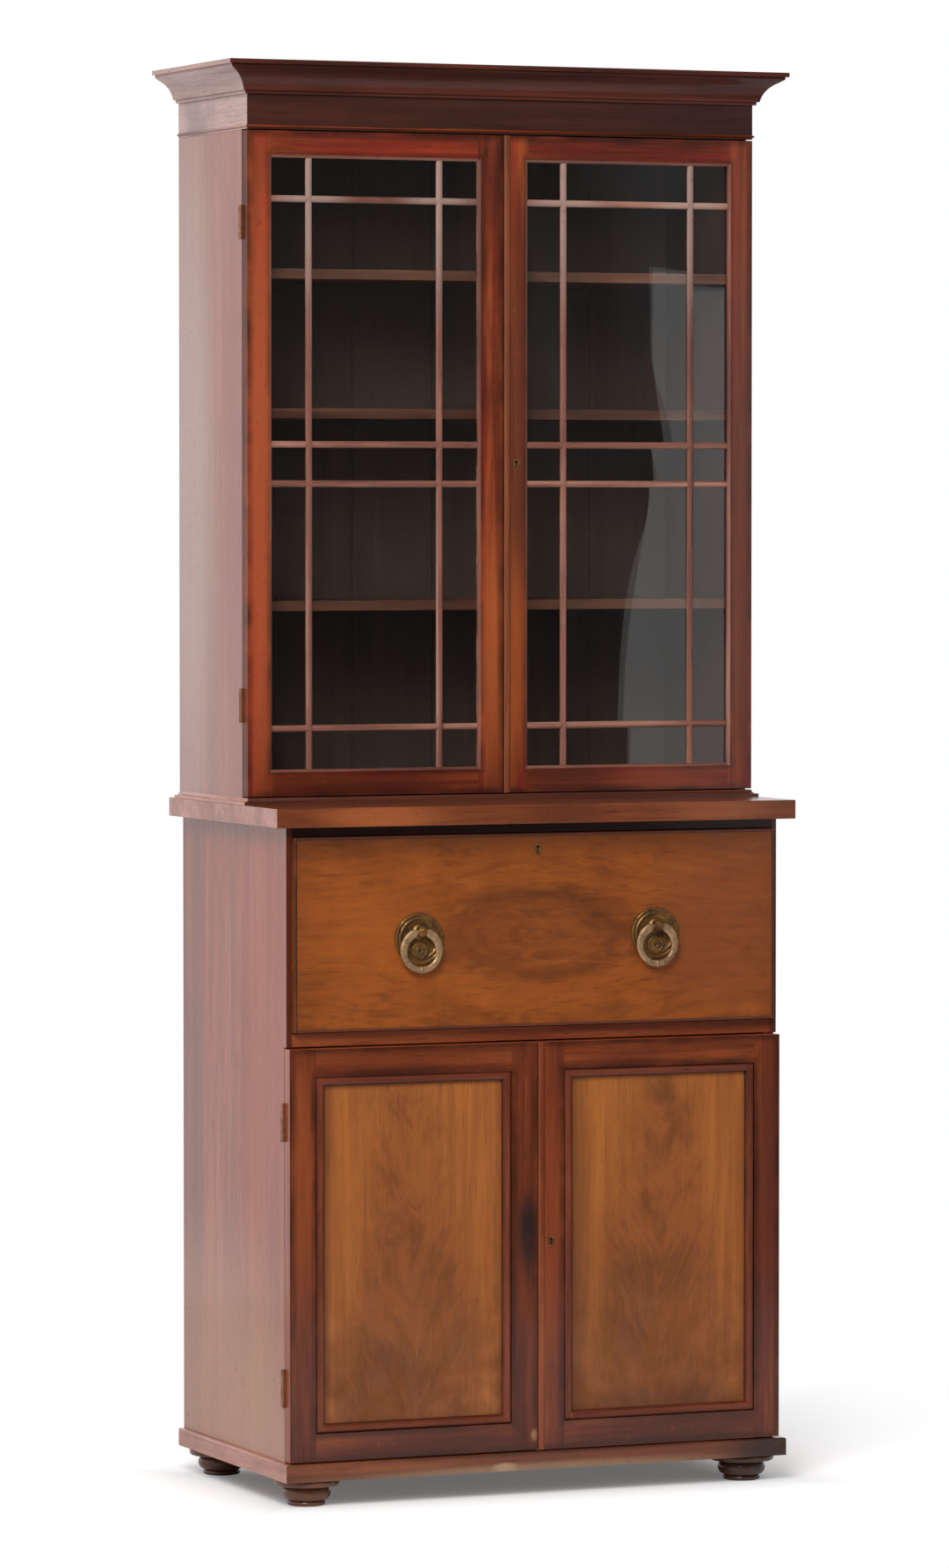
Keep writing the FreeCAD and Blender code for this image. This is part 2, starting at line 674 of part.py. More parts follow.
def make_cupboard_doors():
    x0, x1 = -half_lower, -meeting_gap / 2
    z0, z1 = cupboard_door_bottom, cupboard_door_top
    inner_x0, inner_x1 = x0 + cupboard_stile_width, x1 - cupboard_stile_width
    inner_z0, inner_z1 = z0 + cupboard_stile_width, z1 - cupboard_stile_width
    panel_front = cupboard_face_depth - panel_recess
    panel_back = panel_front - panel_thickness
    frame = box(x0, x1, cupboard_back_depth, cupboard_face_depth, z0, z1)
    opening = box(inner_x0, inner_x1, cupboard_back_depth - cut_overrun, cupboard_face_depth + cut_overrun,
                  inner_z0, inner_z1)
    groove = box(inner_x0 - panel_tongue, inner_x1 + panel_tongue, panel_back, panel_front,
                 inner_z0 - panel_tongue, inner_z1 + panel_tongue)
    frame = cut(frame.cut(opening).cut(groove), *cupboard_hinges.pockets(True))
    tongue = panel_tongue - running_clearance
    panel = box(inner_x0 - tongue, inner_x1 + tongue, panel_back, panel_front,
                inner_z0 - tongue, inner_z1 + tongue)
    moulding = panel_moulding(inner_x0, inner_x1, inner_z0, inner_z1, panel_front)

    left_pieces = split_frame(frame, x0, x1, cupboard_stile_width)
    right_pieces = [mirrored(piece) for piece in left_pieces]
    left_pieces[1] = cut(left_pieces[1], bolt_mortise(cupboard_back_depth, cupboard_lock_height))
    right_pieces[1] = cut(right_pieces[1],
                          *lock_cuts(cupboard_back_depth, cupboard_face_depth, cupboard_lock_height))
    for side, pieces in (("left", left_pieces), ("right", right_pieces)):
        add(side + "_cupboard_door_frame", *pieces)
    add("left_cupboard_panel", panel)
    add("right_cupboard_panel", mirrored(panel))
    add("left_panel_moulding", *moulding)
    add("right_panel_moulding", *[mirrored(strip) for strip in moulding])
    make_meeting_bead("cupboard_meeting_bead", cupboard_face_depth, z0, z1)
    make_lock("cupboard", cupboard_back_depth, cupboard_face_depth, cupboard_lock_height)


def panel_moulding(x0, x1, z0, z1, seat_depth):
    """Four mitred half-round strips that frame the panel."""
    y = back_plane - seat_depth
    rise = panel_recess + panel_moulding_proud
    width = panel_moulding_width

    def strip(start, end, inward):
        along = end.sub(start)
        a, b = start, start.add(inward.multiply(width))
        middle = Vector((a.x + b.x) / 2, y - rise, (a.z + b.z) / 2)
        face = edges_to_face([line(a, b), arc(b, middle, a)])
        return face.extrude(along)

    corners = [Vector(x0, y, z0), Vector(x1, y, z0), Vector(x1, y, z1), Vector(x0, y, z1)]
    inwards = [Vector(0, 0, 1), Vector(-1, 0, 0), Vector(0, 0, -1), Vector(1, 0, 0)]
    strips = []
    for i, inward in enumerate(inwards):
        start, end = corners[i], corners[(i + 1) % len(corners)]
        along = end.sub(start).normalize()
        inner_start = start.add(along * width).add(inward * width)
        inner_end = end.sub(along * width).add(inward * width)
        wedge = plane_face([start, end, inner_end, inner_start]).extrude(Vector(0, -rise - cut_overrun, 0))
        strips.append(strip(start, end, Vector(inward)).common(wedge))
    return strips


def make_meeting_bead(name, face_depth, z0, z1):
    """A half-round bead on the right door's own edge; it stops at the gap between the doors."""
    x0 = meeting_gap / 2
    x1 = x0 + meeting_bead_width
    y = back_plane - face_depth
    a, b = Vector(x0, y, z0), Vector(x1, y, z0)
    middle = Vector((x0 + x1) / 2, y - meeting_bead_proud, z0)
    add(name, edges_to_face([line(a, b), arc(b, middle, a)]).extrude(Vector(0, 0, z1 - z0)))


def lock_limits(back_depth, height):
    """The lock case: let into the inner face of the right door's meeting stile."""
    x0 = meeting_gap / 2
    return x0, x0 + lock_width, back_depth, back_depth + lock_depth, height - lock_height / 2, \
        height + lock_height / 2


def bolt_limits(back_depth, height):
    x0 = meeting_gap / 2
    middle = back_depth + lock_depth / 2
    half = lock_depth / 2 - lock_bolt_wall
    return x0, x0 + lock_bolt_length, middle - half, middle + half, height - lock_bolt_height / 2, \
        height + lock_bolt_height / 2


def grown(limits, margin):
    """Box limits moved outward by a margin on the two cross axes."""
    x0, x1, depth0, depth1, z0, z1 = limits
    return x0, x1, depth0 - margin, depth1 + margin, z0 - margin, z1 + margin


def keyhole(x, height, depth0, depth1):
    drop = box(x - keyhole_slot_width / 2, x + keyhole_slot_width / 2, depth0, depth1,
               height - keyhole_slot_drop, height)
    return rod_y(keyhole_radius, x, depth0, depth1, height).fuse(drop)


def lock_cuts(back_depth, face_depth, height):
    x0, x1, depth0, depth1, z0, z1 = lock_limits(back_depth, height)
    pocket = box(x0 - cut_overrun, x1, depth0 - cut_overrun, depth1, z0, z1)
    return [pocket, keyhole(lock_from_edge, height, back_depth, face_depth + cut_overrun)]


def bolt_mortise(back_depth, height):
    x0, x1, depth0, depth1, z0, z1 = grown(bolt_limits(back_depth, height), running_clearance)
    return box(-meeting_gap / 2 - lock_bolt_throw, x0, depth0, depth1, z0, z1)


def escutcheon(x, height, face_depth):
    """A small keyhole plate: round head with a drop below it."""
    head = rod_y(escutcheon_radius, x, face_depth, face_depth + escutcheon_thickness, height)
    foot = rod_y(escutcheon_radius / 2, x, face_depth, face_depth + escutcheon_thickness,
                 height - escutcheon_drop)
    neck = box(x - escutcheon_radius / 2, x + escutcheon_radius / 2, face_depth,
               face_depth + escutcheon_thickness, height - escutcheon_drop, height)
    plate = head.multiFuse([foot, neck]).removeSplitter()
    return cut(plate, keyhole(x, height, face_depth - cut_overrun, face_depth + cut_overrun))


def make_lock(door, back_depth, face_depth, height):
    x0, x1, depth0, depth1, z0, z1 = lock_limits(back_depth, height)
    case = box(x0, x1, depth0, depth1, z0, z1)
    channel = grown(bolt_limits(back_depth, height), pin_clearance)
    case = cut(case, box(channel[0] - cut_overrun, channel[1] + pin_clearance, *channel[2:]),
               keyhole(lock_from_edge, height, back_depth + lock_bolt_wall, face_depth))
    add(door + "_lock", case, escutcheon(lock_from_edge, height, face_depth))
    add(door + "_lock_bolt", box(*bolt_limits(back_depth, height)))


def fall_bolt_limits():
    middle = fall_back_depth + lock_depth / 2
    half = lock_depth / 2 - lock_bolt_wall
    return -lock_bolt_height / 2, lock_bolt_height / 2, middle - half, middle + half, \
        fall_top - lock_bolt_length, fall_top


def fall_bolt_mortise():
    """The hole over the drawer that takes the fall's lock bolt."""
    x0, x1, depth0, depth1, z0, z1 = fall_bolt_limits()
    gap = running_clearance
    return box(x0 - gap, x1 + gap, depth0 - gap, depth1 + gap,
               drawer_rail_underside - cut_overrun, fall_top + lock_bolt_throw + gap)


def make_desk_drawer():
    side = box(-drawer_half_width, -drawer_inside, drawer_rear_depth, drawer_front_depth,
               drawer_bottom, drawer_top)
    arm, pin = pivot_arm()
    add("drawer_sides", *both_sides(cut(side, pivot_arm_space())))
    add("drawer_bottom", box(-drawer_inside, drawer_inside, drawer_rear_depth, drawer_front_depth,
                             drawer_bottom, drawer_floor_top))
    add("drawer_back", box(-drawer_inside, drawer_inside, drawer_rear_depth,
                           drawer_rear_depth + drawer_back_thickness, drawer_floor_top, drawer_top))
    add("fall_pivots", *both_sides(arm), *both_sides(pin))


def pivot_arm_middle():
    return -(drawer_half_width + drawer_inside) / 2


def pivot_arm_space():
    """The room a pivot arm takes, from its place in the drawer side to the fall's axis."""
    x = pivot_arm_middle()
    half = pivot_arm_thickness / 2
    rise = pivot_arm_half_height
    return box(x - half, x + half, drawer_front_depth - pivot_arm_reach, fall_axis_depth,
               fall_axis_height - rise, fall_axis_height + rise)


def pivot_arm():
    """A flat brass arm from the drawer side, with a cross pin that the fall turns on."""
    x = pivot_arm_middle()
    half = pivot_arm_thickness / 2
    eye = rod_x(pivot_arm_half_height, x - half, x + half, fall_axis_depth, fall_axis_height)
    arm = pivot_arm_space().fuse(eye).removeSplitter()
    pin_half = pivot_pin_length / 2
    bore = rod_x(pivot_pin_radius + pin_clearance, x - pin_half, x + pin_half,
                 fall_axis_depth, fall_axis_height)
    pin = rod_x(pivot_pin_radius, x - pin_half, x + pin_half, fall_axis_depth, fall_axis_height)
    return cut(arm, bore), pin


def pivot_notch():
    """The slot in the fall's lower back corner that lets the arm swing from level to upright."""
    x = pivot_arm_middle()
    half = pivot_arm_thickness / 2 + slide_gap
    rise = pivot_arm_half_height + slide_gap
    notch = box(x - half, x + half, fall_back_depth - cut_overrun, fall_axis_depth + rise,
                fall_bottom - cut_overrun, fall_axis_height + rise)
    pin_half = pivot_pin_length / 2 + slide_gap
    bore = rod_x(pivot_pin_radius + pin_clearance, x - pin_half, x + pin_half,
                 fall_axis_depth, fall_axis_height)
    return [notch, bore]


def make_fall():
    board = box(-fall_half_width + cock_bead_width, fall_half_width - cock_bead_width,
                fall_back_depth, fall_face_depth, fall_bottom + cock_bead_width, fall_top - cock_bead_width)
    core = box(-fall_half_width, fall_half_width, fall_back_depth, fall_face_depth - fall_axis_from_face / 2,
               fall_bottom, fall_top)
    board = board.fuse(core).removeSplitter()
    leather = leather_limits()
    board = cut(board, leather_box(fall_back_depth - cut_overrun, fall_back_depth + leather_recess))
    for notch in pivot_notch():
        board = cut(board, notch, mirrored(notch))
    bolt = fall_bolt_limits()
    lock_x = lock_height / 2
    pocket = box(-lock_x, lock_x, fall_back_depth - cut_overrun, fall_back_depth + lock_depth,
                 fall_top - lock_width, fall_top + cut_overrun)
    key_height = fall_top - lock_from_edge
    board = cut(board, pocket, keyhole(0, key_height, fall_back_depth, fall_face_depth + cut_overrun))
    add("fall_front", board)
    add("writing_leather", leather_box(*leather))
    add("fall_cock_bead", *cock_bead_strips())

    case = box(-lock_x, lock_x, fall_back_depth, fall_back_depth + lock_depth, fall_top - lock_width, fall_top)
    gap = pin_clearance
    channel = box(bolt[0] - gap, bolt[1] + gap, bolt[2] - gap, bolt[3] + gap, bolt[4] - gap,
                  bolt[5] + cut_overrun)
    case = cut(case, channel, keyhole(0, key_height, fall_back_depth + lock_bolt_wall, fall_face_depth))
    add("fall_lock", case, escutcheon(0, key_height, fall_face_depth))
    add("fall_lock_bolt", box(*bolt))
    add("quadrant_stays", *both_sides(quadrant()))


def leather_limits():
    return fall_back_depth + leather_recess - leather_depth, fall_back_depth + leather_recess


def leather_box(depth0, depth1):
    """A panel within the fall's inner face, clear of the lock and the pivots."""
    return box(-fall_half_width + leather_margin, fall_half_width - leather_margin, depth0, depth1,
               fall_bottom + leather_margin, fall_top - leather_margin - lock_from_edge)


def cock_bead_strips():
    """Four beads let into the fall's front edges, each with a rounded nose."""
    seat = fall_face_depth - fall_axis_from_face / 2
    nose = cock_bead_width / 2
    front = fall_face_depth + cock_bead_proud - nose

    def upright(x):
        strip = box(x - nose, x + nose, seat, front, fall_bottom, fall_top)
        return strip.fuse(rod_z(nose, x, front, fall_bottom, fall_top)).removeSplitter()

    def level(z):
        x = fall_half_width - cock_bead_width
        strip = box(-x, x, seat, front, z - nose, z + nose)
        return strip.fuse(rod_x(nose, -x, x, front, z)).removeSplitter()

    edge = fall_half_width - nose
    return [upright(-edge), upright(edge), level(fall_bottom + nose), level(fall_top - nose)]


def quadrant():
    """A brass quarter band about the fall's axis, screwed to the fall and sliding by the drawer side."""
    x = -drawer_inside + slide_gap
    outer = quadrant_radius
    inner = quadrant_radius - quadrant_band
    disc = rod_x(outer, x, x + quadrant_thickness, fall_axis_depth, fall_axis_height)
    disc = disc.cut(rod_x(inner, x - cut_overrun, x + quadrant_thickness + cut_overrun,
                          fall_axis_depth, fall_axis_height))
    window = box(x - cut_overrun, x + quadrant_thickness + cut_overrun, fall_axis_depth - outer - cut_overrun,
                 fall_back_depth, drawer_floor_top + quadrant_tail_rise, fall_axis_height + outer + cut_overrun)
    return disc.common(window)


def make_pigeonholes():
    t = nest_board_thickness
    z0, z1 = drawer_floor_top, drawer_top
    shelf_z = z0 + letter_drawer_height
    w = nest_half_width
    boards = [
        box(-w, -w + t, nest_rear_depth, nest_front_depth, z0, z1),
        box(w - t, w, nest_rear_depth, nest_front_depth, z0, z1),
        box(-w + t, w - t, nest_rear_depth, nest_front_depth, z1 - t, z1),
        box(-w + t, w - t, nest_rear_depth, nest_front_depth, shelf_z, shelf_z + t),
    ]
    for x in divider_places(letter_drawer_count):
        boards.append(box(x - t / 2, x + t / 2, nest_rear_depth, nest_front_depth, z0, shelf_z))
    for x in divider_places(pigeonhole_count):
        boards.append(box(x - t / 2, x + t / 2, nest_rear_depth, nest_front_depth, shelf_z + t, z1 - t))
    add("pigeonhole_boards", *boards)

    names = ("left_letter_drawer", "right_letter_drawer")
    for name, (x0, x1) in zip(names, bays(letter_drawer_count)):
        add(name, *letter_drawer(x0 + slide_gap, x1 - slide_gap, z0 + slide_gap, shelf_z - running_clearance))


def divider_places(count):
    inside = nest_half_width - nest_board_thickness
    return [-inside + (inside + inside) * i / count for i in range(1, count)]


def bays(count):
    """The clear spaces between neighbouring dividers."""
    half = nest_board_thickness / 2
    inside = nest_half_width - nest_board_thickness
    walls = divider_places(count)
    starts = [-inside] + [x + half for x in walls]
    ends = [x - half for x in walls] + [inside]
    return list(zip(starts, ends))


def letter_drawer(x0, x1, z0, z1):
    """An open box with a turned knob on its front."""
    wall = letter_drawer_wall
    rear = nest_rear_depth + running_clearance
    body = box(x0, x1, rear, nest_front_depth, z0, z1)
    hollow = box(x0 + wall, x1 - wall, rear + wall, nest_front_depth - wall, z0 + letter_drawer_base,
                 z1 + cut_overrun)
    middle_x, middle_z = (x0 + x1) / 2, (z0 + z1) / 2
    ball = Part.makeSphere(knob_radius, Vector(middle_x, back_plane - nest_front_depth - knob_stem_length
                                               - knob_radius / 2, middle_z))
    stem = rod_y(knob_stem_radius, middle_x, nest_front_depth, nest_front_depth + knob_stem_length, middle_z)
    return [body.cut(hollow), stem.fuse(ball).removeSplitter()]


def ring_pivot():
    """Depth and height of the line that a hanging ring turns about."""
    return fall_face_depth + handle_plate_thickness + ring_standoff, handle_height + ring_pivot_rise


def make_handles():
    x = -handle_spacing / 2
    plate_front = fall_face_depth + handle_plate_thickness
    plate = rod_y(handle_plate_radius, x, fall_face_depth, plate_front, handle_height)
    rim = rod_y(handle_plate_radius, x, plate_front, plate_front + handle_rim_proud, handle_height)
    rim = rim.cut(rod_y(handle_plate_radius - handle_rim_width, x, plate_front - cut_overrun,
                        plate_front + cut_overrun, handle_height))
    depth, height = ring_pivot()
    dome = Part.makeCone(handle_dome_radius, handle_dome_radius / 2, handle_dome_height,
                         Vector(x, back_plane - plate_front, height), Vector(0, -1, 0))
    lug = rod_x(lug_radius, x - lug_width / 2, x + lug_width / 2, depth, height)
    bridge = box(x - lug_width / 2, x + lug_width / 2, plate_front, depth, height - lug_radius,
                 height + lug_radius)
    bore_radius = ring_wire_radius + lug_bore_play
    bore = rod_x(bore_radius, x - handle_dome_radius, x + handle_dome_radius, depth, height)
    plate = plate.multiFuse([rim, dome, lug, bridge]).removeSplitter()
    add("handle_plates", *both_sides(cut(plate, bore)))

    centre = Vector(x, back_plane - depth, height - ring_radius)
    ring = Part.makeTorus(ring_radius, ring_wire_radius, centre, Y_AXIS)
    add("left_ring", ring)
    add("right_ring", mirrored(ring))


make_hinges()
make_lower_carcass()
make_plinth_and_feet()
make_bookcase()
make_cornice()
make_glazed_doors()
make_cupboard_doors()
make_desk_drawer()
make_fall()
make_pigeonholes()
make_handles()

os.makedirs("parts", exist_ok=True)
for name, shape in nodes.items():
    shape.exportStep(os.path.join("parts", name + ".step"))
    print(name, "solids", len(shape.Solids), "valid", shape.isValid(), "volume", round(shape.Volume))
print("nodes", len(nodes))
everything = Part.makeCompound(list(nodes.values())).BoundBox
print("box", everything)
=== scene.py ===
# %% [markdown]
# # A secretaire bookcase
# A tall mahogany cabinet in three storeys: barred glass doors above, a deep desk drawer with a fall front
# in the middle, and a panelled cupboard on bun feet below. The CAD frame already holds every board, bar
# and hinge at its true size, so this lesson adds what CAD leaves out: polish, figure, age, brass castings
# and light.

# %% Load the CAD frame
import math

import bmesh
import bpy
from mathutils import Matrix, Vector


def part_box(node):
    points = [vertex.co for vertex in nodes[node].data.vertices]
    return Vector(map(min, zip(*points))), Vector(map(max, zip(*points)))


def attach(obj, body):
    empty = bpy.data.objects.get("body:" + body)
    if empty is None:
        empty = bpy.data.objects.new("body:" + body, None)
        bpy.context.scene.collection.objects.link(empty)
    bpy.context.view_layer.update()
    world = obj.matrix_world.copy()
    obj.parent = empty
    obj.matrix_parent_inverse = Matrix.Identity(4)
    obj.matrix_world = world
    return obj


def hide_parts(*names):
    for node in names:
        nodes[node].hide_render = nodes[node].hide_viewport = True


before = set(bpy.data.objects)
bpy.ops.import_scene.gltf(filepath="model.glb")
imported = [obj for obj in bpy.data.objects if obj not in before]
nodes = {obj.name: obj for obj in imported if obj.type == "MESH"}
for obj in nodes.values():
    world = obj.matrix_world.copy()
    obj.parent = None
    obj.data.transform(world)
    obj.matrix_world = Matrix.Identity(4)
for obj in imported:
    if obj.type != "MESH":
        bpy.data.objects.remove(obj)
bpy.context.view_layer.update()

scene = bpy.context.scene

# %% [markdown]
# ## The camera
# The cabinet is seen from far off through a long lens, a little to the left of its front and at about the
# height of the middle shelf. That keeps upright edges almost parallel. The camera dips by two degrees,
# because lens shift would follow it into every other view.

# %% Set the camera
CAMERA_DIP = 2.308
CAMERA_TURN = -22.659
camera_lens = bpy.data.cameras.new("camera")
camera_lens.lens = 158.95
camera_lens.sensor_width = 36
camera = bpy.data.objects.new("camera", camera_lens)
camera.location = (-4.2884, -10.2408, 1.5639)
camera.rotation_euler = (math.radians(90 - CAMERA_DIP), 0, math.radians(CAMERA_TURN))
scene.collection.objects.link(camera)
scene.camera = camera
scene.view_settings.view_transform = "Standard"
print("camera at", tuple(camera.location))

# %% [markdown]
# ## Shader sums as Python
# Wood needs many small sums: streaks plus pores, one minus a mask, a stain where two masks meet. Wiring
# those by hand hides the idea, so one small class stands for a socket and its operators add the Math nodes.
# Colours and vectors go through Mix and Vector Math nodes, because a Math node would turn a colour grey.

# %% A wire that does sums
class Wire:
    """One output socket in a node tree."""

    def __init__(self, tree, socket=None):
        self.tree = tree
        self.socket = socket

    def node(self, kind, settings=None, inputs=None, output=0):
        made = self.tree.nodes.new(kind)
        for name, value in (settings or {}).items():
            if name == "stops":
                fill_ramp(made.color_ramp, value)
            else:
                setattr(made, name, value)
        for key, value in (inputs or {}).items():
            if isinstance(value, Wire):
                self.tree.links.new(value.socket, made.inputs[key])
            else:
                made.inputs[key].default_value = value
        return Wire(self.tree, made.outputs[output])

    def sum(self, operation, a, b=0.0):
        return self.node("ShaderNodeMath", {"operation": operation}, {0: a, 1: b})

    def __add__(self, other):
        return self.sum("ADD", self, other)

    def __sub__(self, other):
        return self.sum("SUBTRACT", self, other)

    def __rsub__(self, other):
        return self.sum("SUBTRACT", other, self)

    def __mul__(self, other):
        return self.sum("MULTIPLY", self, other)

    def __truediv__(self, other):
        return self.sum("DIVIDE", self, other)

    def __pow__(self, other):
        return self.sum("POWER", self, other)

    def __lt__(self, other):
        return self.sum("LESS_THAN", self, other)

    def __gt__(self, other):
        return self.sum("GREATER_THAN", self, other)

    def __abs__(self):
        return self.sum("ABSOLUTE", self)

    __radd__ = __add__
    __rmul__ = __mul__


def fill_ramp(ramp, stops):
    while len(ramp.elements) < len(stops):
        ramp.elements.new(1.0)
    for element, (place, colour) in zip(ramp.elements, stops):
        element.position = place
        element.color = colour


print("wires ready")

# %% [markdown]
# ## Small helpers for finishes
# Colours are written as they look on screen, from 0 to 255, and turned into the linear values that shaders
# use. Every pattern reads Object coordinates: the pieces sit at the origin with their place in their mesh,
# so these are metres in the cabinet itself, and a stain can be put exactly where a hand has worn the polish.

# %% Colours and empty finishes
def paint(red, green, blue):
    def linear(value):
        share = value / 255
        return share / 12.92 if share <= 0.04045 else ((share + 0.055) / 1.055) ** 2.4
    return (linear(red), linear(green), linear(blue), 1.0)


def darker(tone, share):
    return tuple(c * share for c in paint(*tone)[:3]) + (1.0,)


def new_finish(name):
    """An empty material: the material, its shader, and a wire with the Object coordinates."""
    material = bpy.data.materials.new(name)
    material.use_nodes = True
    shader = material.node_tree.nodes["Principled BSDF"]
    return material, shader, Wire(material.node_tree).node("ShaderNodeTexCoord", output="Object")


def plug(shader, sockets):
    """Sets a shader's sockets to values, or wires patterns to them."""
    for name, value in sockets.items():
        if isinstance(value, Wire):
            shader.id_data.links.new(value.socket, shader.inputs[name])
        else:
            shader.inputs[name].default_value = value


def show(material, surface):
    """Makes a mix of shaders the surface of a material."""
    output = next(n for n in material.node_tree.nodes if n.type == "OUTPUT_MATERIAL")
    material.node_tree.links.new(surface.socket, output.inputs["Surface"])


print("mahogany red as a shader sees it", [round(c, 3) for c in paint(110, 43, 18)])

# %% Vectors, noises and masks
def axes(place):
    """The three coordinates of a place as separate wires."""
    return [place.node("ShaderNodeSeparateXYZ", None, {0: place}, output) for output in ("X", "Y", "Z")]


def joined(x, y, z):
    wire = next(value for value in (x, y, z) if isinstance(value, Wire))
    return wire.node("ShaderNodeCombineXYZ", None, {0: x, 1: y, 2: z})


def scaled(vector, scale):
    return vector.node("ShaderNodeVectorMath", {"operation": "MULTIPLY"}, {0: vector, 1: scale})


def moved(vector, shift):
    return vector.node("ShaderNodeVectorMath", {"operation": "ADD"}, {0: vector, 1: shift})


def noise(vector, scale, detail=3.0, roughness=0.55, distortion=0.0):
    return vector.node("ShaderNodeTexNoise", {"noise_dimensions": "3D"},
                       {"Vector": vector, "Scale": scale, "Detail": detail, "Roughness": roughness,
                        "Distortion": distortion}, "Fac")


def step(value, low, high):
    """Rises smoothly from 0 at low to 1 at high; low may be above high."""
    if low > high:
        return 1 - step(value, high, low)
    return value.node("ShaderNodeMapRange", {"interpolation_type": "SMOOTHSTEP"},
                      {"Value": value, "From Min": low, "From Max": high}, "Result")


def spot(place, centre, reach):
    """A soft oval mask: 1 at the centre, 0 from the reach outward."""
    shifted = moved(place, tuple(-c for c in centre))
    shrunk = scaled(shifted, tuple(1 / r for r in reach))
    far = shrunk.node("ShaderNodeVectorMath", {"operation": "LENGTH"}, {0: shrunk}, "Value")
    return step(far, 1.0, 0.25)


print("patterns ready")

# %% Mixes and relief
def blend(factor, first, second, kind="MIX"):
    wire = next(value for value in (factor, first, second) if isinstance(value, Wire))
    return wire.node("ShaderNodeMix", {"data_type": "RGBA", "blend_type": kind},
                     {0: factor, 6: first, 7: second}, 2)


def layered(colour, *layers):
    """Lays tones over a colour one after another; each layer is a mask and a tone."""
    for mask, tone in layers:
        colour = blend(mask, colour, tone)
    return colour


def choose(mask, first, second):
    """A vector: first where the mask is 0, second where it is 1."""
    return mask.node("ShaderNodeMix", {"data_type": "VECTOR"}, {0: mask, 4: first, 5: second}, 1)


def ramp(value, tones):
    """A run of three tones: the deep one at 0, the bright one at 1."""
    deep, middle, bright = [paint(*tone) for tone in tones]
    return value.node("ShaderNodeValToRGB", {"stops": [(0.0, deep), (0.5, middle), (1.0, bright)]},
                      {0: value}, "Color")


def bump(height, strength, depth):
    """Relief that follows a pattern; depth is in metres."""
    return height.node("ShaderNodeBump", None,
                       {"Strength": strength, "Distance": depth, "Height": height}, "Normal")


print("mixes ready")

# %% [markdown]
# ## Polished mahogany
# Mahogany shows fine dark pores, soft ribbons along the board and a red that light has turned orange. A
# noise squeezed along the board gives each of these: coarse for ribbons, finer for streaks, finest for pores.
# A door frame has upright stiles and level rails, so a mask turns the grain where a rail begins; a mitred
# moulding turns it along the mitre. A picture of wood would not follow those joints.

# %% Grain that turns with the boards
GRAIN_SQUEEZE = 0.045
STRETCH = {"x": (GRAIN_SQUEEZE, 1, 1), "y": (1, GRAIN_SQUEEZE, 1), "z": (1, 1, GRAIN_SQUEEZE)}
PORE_SCALE = 620.0


def past_mitre(place, mitre):
    """1 on a moulding's side returns, 0 on its front."""
    x, y, z = axes(place)
    corner_x, corner_y = mitre
    return (abs(x) - corner_x) > (corner_y - y)


def grain_direction(place, run, rails=None, mitre=None, bars=None):
    """Coordinates squeezed along the grain, turned where a piece's boards change direction."""
    grain = scaled(place, STRETCH[run])
    x, y, z = axes(place)
    if rails:
        centre, half_opening = rails
        grain = choose(abs(x - centre) < half_opening, grain, scaled(place, STRETCH["x"]))
    if bars:
        centre, half_spacing, half_bar = bars
        upright = abs(abs(x - centre) - half_spacing) < half_bar
        grain = choose(upright, scaled(place, STRETCH["x"]), grain)
    if mitre:
        grain = choose(past_mitre(place, mitre), grain, scaled(place, STRETCH["y"]))
    return grain


def pore_mask(grain, roughness=0.55):
    return step(noise(grain, PORE_SCALE, 2.0, roughness), 0.58, 0.72)


print("grain ready, squeezed to", GRAIN_SQUEEZE)

# %% [markdown]
# ### Wear on the polish
# Old polish is never even: hands, sun and dust leave broad stains, and dirt gathers along the edges of every
# frame, darkened further there by painted shade. A stain is a soft oval broken up by a noise, and the dirt
# and painted shade follow the distance from a frame's edge; the same distance finds the moulded lip inside a
# frame, which gets a painted highlight. Such masks could be painted by hand, but then they would need
# pictures; these are only sums.

# %% Stains, grime with painted shade, and moulded lips with painted highlights
GRIME_AND_SHADE_REACH = 0.015
LIP_WIDTH = 0.0048
LIP_FADE = 0.0012


def from_rim(place, node):
    """How far a place on a flat upright piece is from the piece's outer edge."""
    low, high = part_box(node)
    middle, half = (low + high) / 2, (high - low) / 2
    x, y, z = axes(place)
    from_side = half.x - abs(x - middle.x)
    return from_side.sum("MINIMUM", from_side, half.z - abs(z - middle.z))


def stained(colour, place, stains):
    """Mottled stains; each is a centre, a reach, a colour and a strength."""
    for centre, reach, stain, strength in stains:
        mottled = spot(place, centre, reach) * step(noise(place, 90.0, 4.0), 0.1, 0.44) * strength
        colour = blend(mottled, colour, paint(*stain))
    return colour


def grimy(colour, place, rim, width, tone):
    """Dirt and painted shade along both edges of a frame's stiles and rails, which are as wide as width."""
    half = width / 2
    spread = min(GRIME_AND_SHADE_REACH, half * 0.7)
    patchy = step(noise(place, 14.0, 3.0), 0.15, 0.7)
    grime_and_shade = step(abs(rim - half), half - spread, half - 0.001) * patchy
    return blend(grime_and_shade * 0.8, colour, darker(tone, 0.5))


def lip_highlight_mask(rim, width, ribbon):
    """Painted highlight on the narrow moulded lip at a frame's inner edge, broken up along the grain."""
    return step(rim, width - LIP_WIDTH, width - LIP_WIDTH + LIP_FADE) * step(ribbon, 0.25, 0.55)


print("grime reaches", GRIME_AND_SHADE_REACH, "m")

# %% [markdown]
# ### The whole recipe
# One recipe serves every polished board, so that all look like wood from one workshop. What differs is
# handed in: tones, the run of the grain, stains, or other tones for an inner face or a moulding's end. The
# polish is a clear coat that has worn unevenly.

# %% The mahogany recipe
PORE_SHADE = (0.25, 0.2, 0.18, 1.0)


